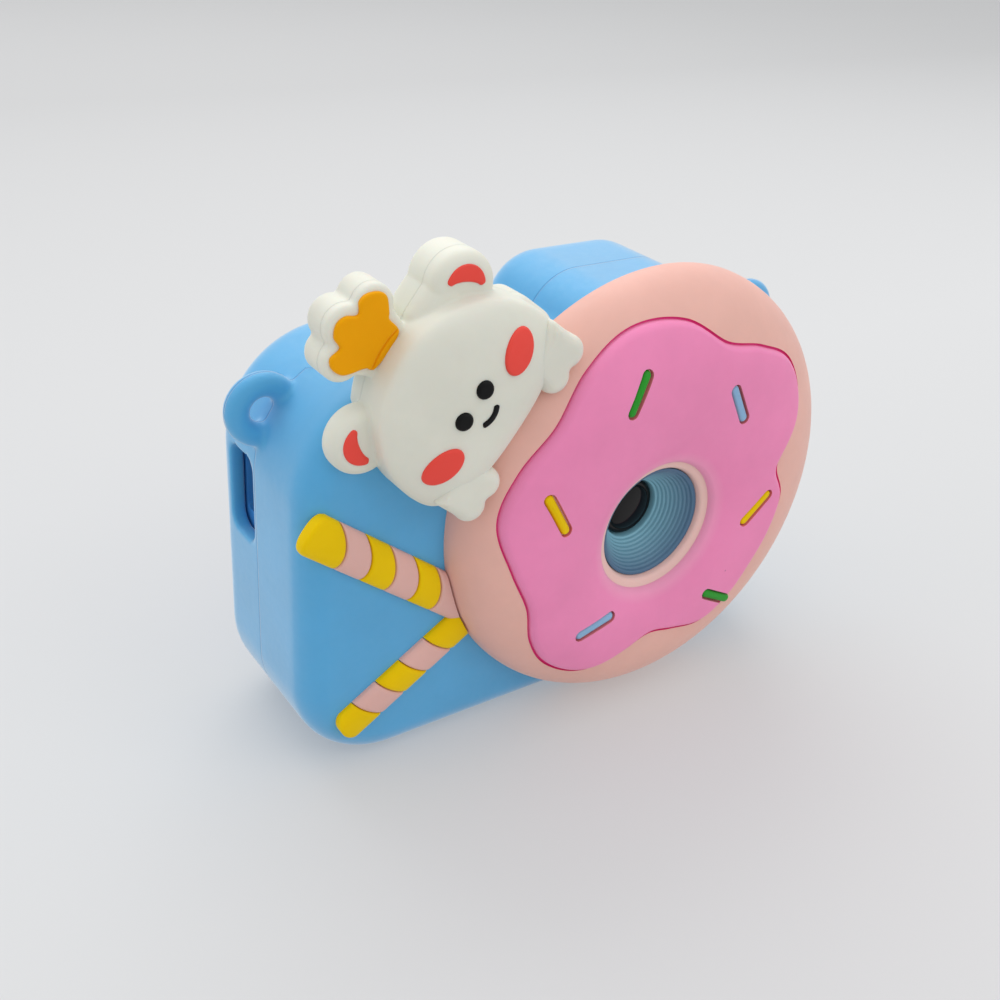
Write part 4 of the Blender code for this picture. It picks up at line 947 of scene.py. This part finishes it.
def stripe_mesh(stick, start, end, columns=26, rows=14):
    """One padded stripe with a groove along each border."""
    bm = bmesh.new()
    top, root = [], []
    for i in range(columns + 1):
        across = math.sin(math.pi / 2 * (-1 + 2 * i / columns))
        low = stick_seam(stick, start, across) + 0.1
        high = stick_seam(stick, end, across) - 0.1
        upper, lower = [], []
        for j in range(rows + 1):
            along = low + (high - low) * (1 - math.cos(math.pi * j / rows)) / 2
            x, z = stick_point(stick, along, across)
            crown = 0.35 + 1.15 * (max(1 - abs(across) ** 2.4, 0.0)) ** 0.5
            near = min(along - low, high - along)
            crown -= 0.28 * max(1 - near / 0.4, 0.0) ** 2
            upper.append(bm.verts.new((x, -crown, z)))
            lower.append(bm.verts.new((x, 0.5, z)))
        top.append(upper)
        root.append(lower)
    for grid in (top, root):
        for i in range(columns):
            for j in range(rows):
                bm.faces.new((grid[i][j], grid[i + 1][j], grid[i + 1][j + 1], grid[i][j + 1]))
    rim = [(i, 0) for i in range(columns)] + [(columns, j) for j in range(rows)]
    rim += [(i, rows) for i in range(columns, 0, -1)] + [(0, j) for j in range(rows, 0, -1)]
    for (a, b), (c, d) in zip(rim, rim[1:] + rim[:1]):
        bm.faces.new((top[a][b], top[c][d], root[c][d], root[a][b]))
    return bm


for stick in STICKS:
    pairs = list(zip(stick["seams"], stick["seams"][1:]))
    for n, (start, end) in enumerate(pairs, 1):
        node = "{}_{}".format(stick["name"], n)
        material = YELLOW if n % 2 else BLUSH
        shape = stripe_mesh(stick, start, end)
        stripe = finish_mesh(node + "_look", shape, material, "camera", (node,), True, 55)
        if n == len(pairs):
            cut(stripe, plain("trim", prism(arc(RING, RING_R + 0.2, 0, 357, 119), -5, 5)))
            stripe.data.shade_smooth()
            stripe.data.set_sharp_from_angle(angle=math.radians(50))


# ---- lens ------------------------------------------------------------------
LENS_FRONT = (LENS[0], 0.0, LENS[1])
mouth, throat, ridges = 9.05, 5.0, 10
floor_height, funnel_height = 1.6, 5.3
funnel = []
for n in range(ridges):
    r0 = throat + (mouth - throat) * n / ridges
    r1 = throat + (mouth - throat) * (n + 1) / ridges
    h0 = floor_height + funnel_height * n / ridges
    h1 = floor_height + funnel_height * (n + 1) / ridges
    funnel += [(r0, h0), (r0 + 0.06, h0 + (h1 - h0) * 0.62), (r0 + 0.14, h0 + (h1 - h0) * 0.78),
               (r1 - 0.08, h0 + (h1 - h0) * 0.86), (r1 - 0.02, h0 + (h1 - h0) * 0.93)]
cone = [(4.2, 0.2), (throat, 0.2)] + funnel
cone += [(mouth, 6.9), (9.3, 6.9), (9.3, -4.6), (11.0, -4.6), (11.0, -5.6), (4.2, -5.6), (4.2, 0.2)]
turned("lens_cone_look", cone, LENS_FRONT, SLATE, "-Y", 128, ("lens_cone",))
bezel = [(3.93, 1.4), (4.2, 1.42), (4.5, 1.36), (4.68, 1.2), (4.75, 1.0), (4.75, 0.5), (3.6, 0.5), (3.6, 1.0),
         (3.93, 1.1), (3.93, 1.4)]
turned("lens_bezel_look", bezel, LENS_FRONT, GLOSS_BLACK, "-Y", 96, ("lens_bezel",))
glass_radius, glass_rise = 3.9, 0.62
dome = []
for t in range(13):
    a = t * math.pi / 2 / 12
    dome.append((glass_radius * math.sin(a), 1.35 + glass_rise * math.cos(a)))
dome += [(glass_radius, 1.25), (0.0, 1.25)]
turned("lens_glass_look", dome, LENS_FRONT, GLASS, "-Y", 96, ("lens_glass",))


# ---- keys ------------------------------------------------------------------
def key_profile(radius, top, flange, wide):
    """Slightly domed key with a rounded rim, on a flange that keeps it in."""
    edge = 0.55
    thick = 1.0
    profile = [(0.0, top)]
    for k in range(1, 6):
        f = k / 5
        profile.append(((radius - edge) * f, top - 0.18 * f * f))
    for k in range(1, 7):
        t = math.pi / 2 * k / 6
        profile.append((radius - edge + edge * math.sin(t), top - 0.18 - edge * (1 - math.cos(t))))
    profile += [(radius, flange), (radius + wide, flange)]
    profile += [(radius + wide, flange - thick), (0.0, flange - thick)]
    return profile


for name in ("up", "down", "left", "right", "ok", "mode", "playback"):
    node = name + "_button"
    c = local(node)
    low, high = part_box(node)
    radius = size(node).x / 2 / MM - KEY_FLANGE
    base = (low[1] - ORIGIN.y) / MM
    top = (high[1] - ORIGIN.y) / MM
    turned(node + "_look", key_profile(radius, top, base + 1.0, KEY_FLANGE), (c.x, 0, c.z),
           KEY_PINK if name == "ok" else KEY_BLUE, "+Y", 56, (node,), node)
for node, material in (("shutter_button", KEY_PINK), ("power_button", SHELL_WHITE)):
    c = local(node)
    low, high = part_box(node)
    radius = size(node).x / 2 / MM - TOP_KEY_FLANGE
    profile = key_profile(radius, high[2] / MM, low[2] / MM + 1.0, TOP_KEY_FLANGE)
    turned(node + "_look", profile, (c.x, c.y, 0), material, "+Z", 64, (node,), node)

# ---- CAD pieces that keep their shape --------------------------------------
KEPT = {"front_housing": TEAL, "rear_housing": TEAL, "camera_module": DARK, "main_board": BOARD,
        "battery": WRAP, "lcd_module": DARK, "screen_window": SCREEN, "speaker": DARK,
        "key_board": DARK, "usb_port": STEEL, "card_slot": STEEL, "micro_sd_card": GLOSS_BLACK}
KEPT.update({"back_screw_%d" % n: STEEL for n in range(1, 5)})
for node, material in KEPT.items():
    obj = NODES[node]
    if not obj.material_slots:
        obj.data.materials.append(material)
    for holder in obj.material_slots:
        holder.material = material

# ---- camera, floor and light -----------------------------------------------
scene = bpy.context.scene
scene.view_settings.view_transform = "Standard"
VIEW_AROUND, VIEW_ABOVE, VIEW_ROLL = -36.411, 29.391, 4.438
VIEW_POINT = (-104.72, -123.83, 127.26)
az, el, roll = (math.radians(a) for a in (VIEW_AROUND, VIEW_ABOVE, VIEW_ROLL))
look = Vector((-math.sin(az) * math.cos(el), math.cos(az) * math.cos(el), -math.sin(el)))
right = Vector((math.cos(az), math.sin(az), 0))
up = right.cross(look)
row0 = right * math.cos(roll) + up * math.sin(roll)
row1 = -right * math.sin(roll) + up * math.cos(roll)
spot = Vector(VIEW_POINT) * MM + ORIGIN
camera = bpy.data.objects.new("camera_view", bpy.data.cameras.new("camera_view"))
scene.collection.objects.link(camera)
camera.matrix_world = Matrix(((row0.x, row1.x, -look.x, spot.x), (row0.y, row1.y, -look.y, spot.y),
                              (row0.z, row1.z, -look.z, spot.z), (0, 0, 0, 1)))
camera.data.lens = 43.2
camera.data.sensor_width = 36
camera.data.clip_start = 0.005
scene.camera = camera

bm = bmesh.new()
bmesh.ops.create_grid(bm, x_segments=2, y_segments=2, size=4.0)
mesh = bpy.data.meshes.new("floor")
bm.to_mesh(mesh)
bm.free()
floor = bpy.data.objects.new("floor", mesh)
scene.collection.objects.link(floor)
floor_look = Graph("floor_look")
floor_shader = floor_look.shader
split = floor_look.add("ShaderNodeSeparateXYZ")
floor_look.link(floor_look.place(), split.inputs[0])
# painted shade: the floor's colour darkens with distance behind the object, standing in for the light falling
# off
painted_falloff = floor_look.remap(split.outputs[1], 0.08, 0.45, 0.415, 0.30)
painted_falloff.node.clamp = True
floor_look.link(painted_falloff, floor_shader.inputs["Base Color"])
floor_shader.inputs["Emission Color"].default_value = (1, 1, 1, 1)
floor_shader.inputs["Emission Strength"].default_value = 0.27
floor_shader.inputs["Roughness"].default_value = 0.9
floor_shader.inputs["Specular IOR Level"].default_value = 0.1
mesh.materials.append(floor_look.material)

world = bpy.data.worlds.new("studio")
scene.world = world
world.use_nodes = True
world.node_tree.nodes["Background"].inputs["Color"].default_value = (0.95, 0.97, 1.0, 1)
world.node_tree.nodes["Background"].inputs["Strength"].default_value = 0.72


def softbox(name, place, target, wide, high, power):
    light = bpy.data.lights.new(name, "AREA")
    light.shape = "RECTANGLE"
    light.size = wide
    light.size_y = high
    light.energy = power
    obj = bpy.data.objects.new(name, light)
    scene.collection.objects.link(obj)
    obj.location = place
    obj.rotation_euler = (Vector(target) - Vector(place)).to_track_quat("-Z", "Y").to_euler()
    return obj


softbox("top_light", (-0.05, 0.25, 1.7), (0, 0.25, 0), 2.6, 2.6, 10.0)
softbox("back_light", (0.10, 0.50, 0.62), (0, 0, 0), 0.8, 0.5, 2.4)
softbox("left_light", (-1.2, 0.45, 0.5), (0, 0, 0.04), 0.8, 0.8, 1.2)
softbox("front_light", (0.7, -1.1, 0.9), (0, 0, 0.04), 1.0, 1.0, 3.0)
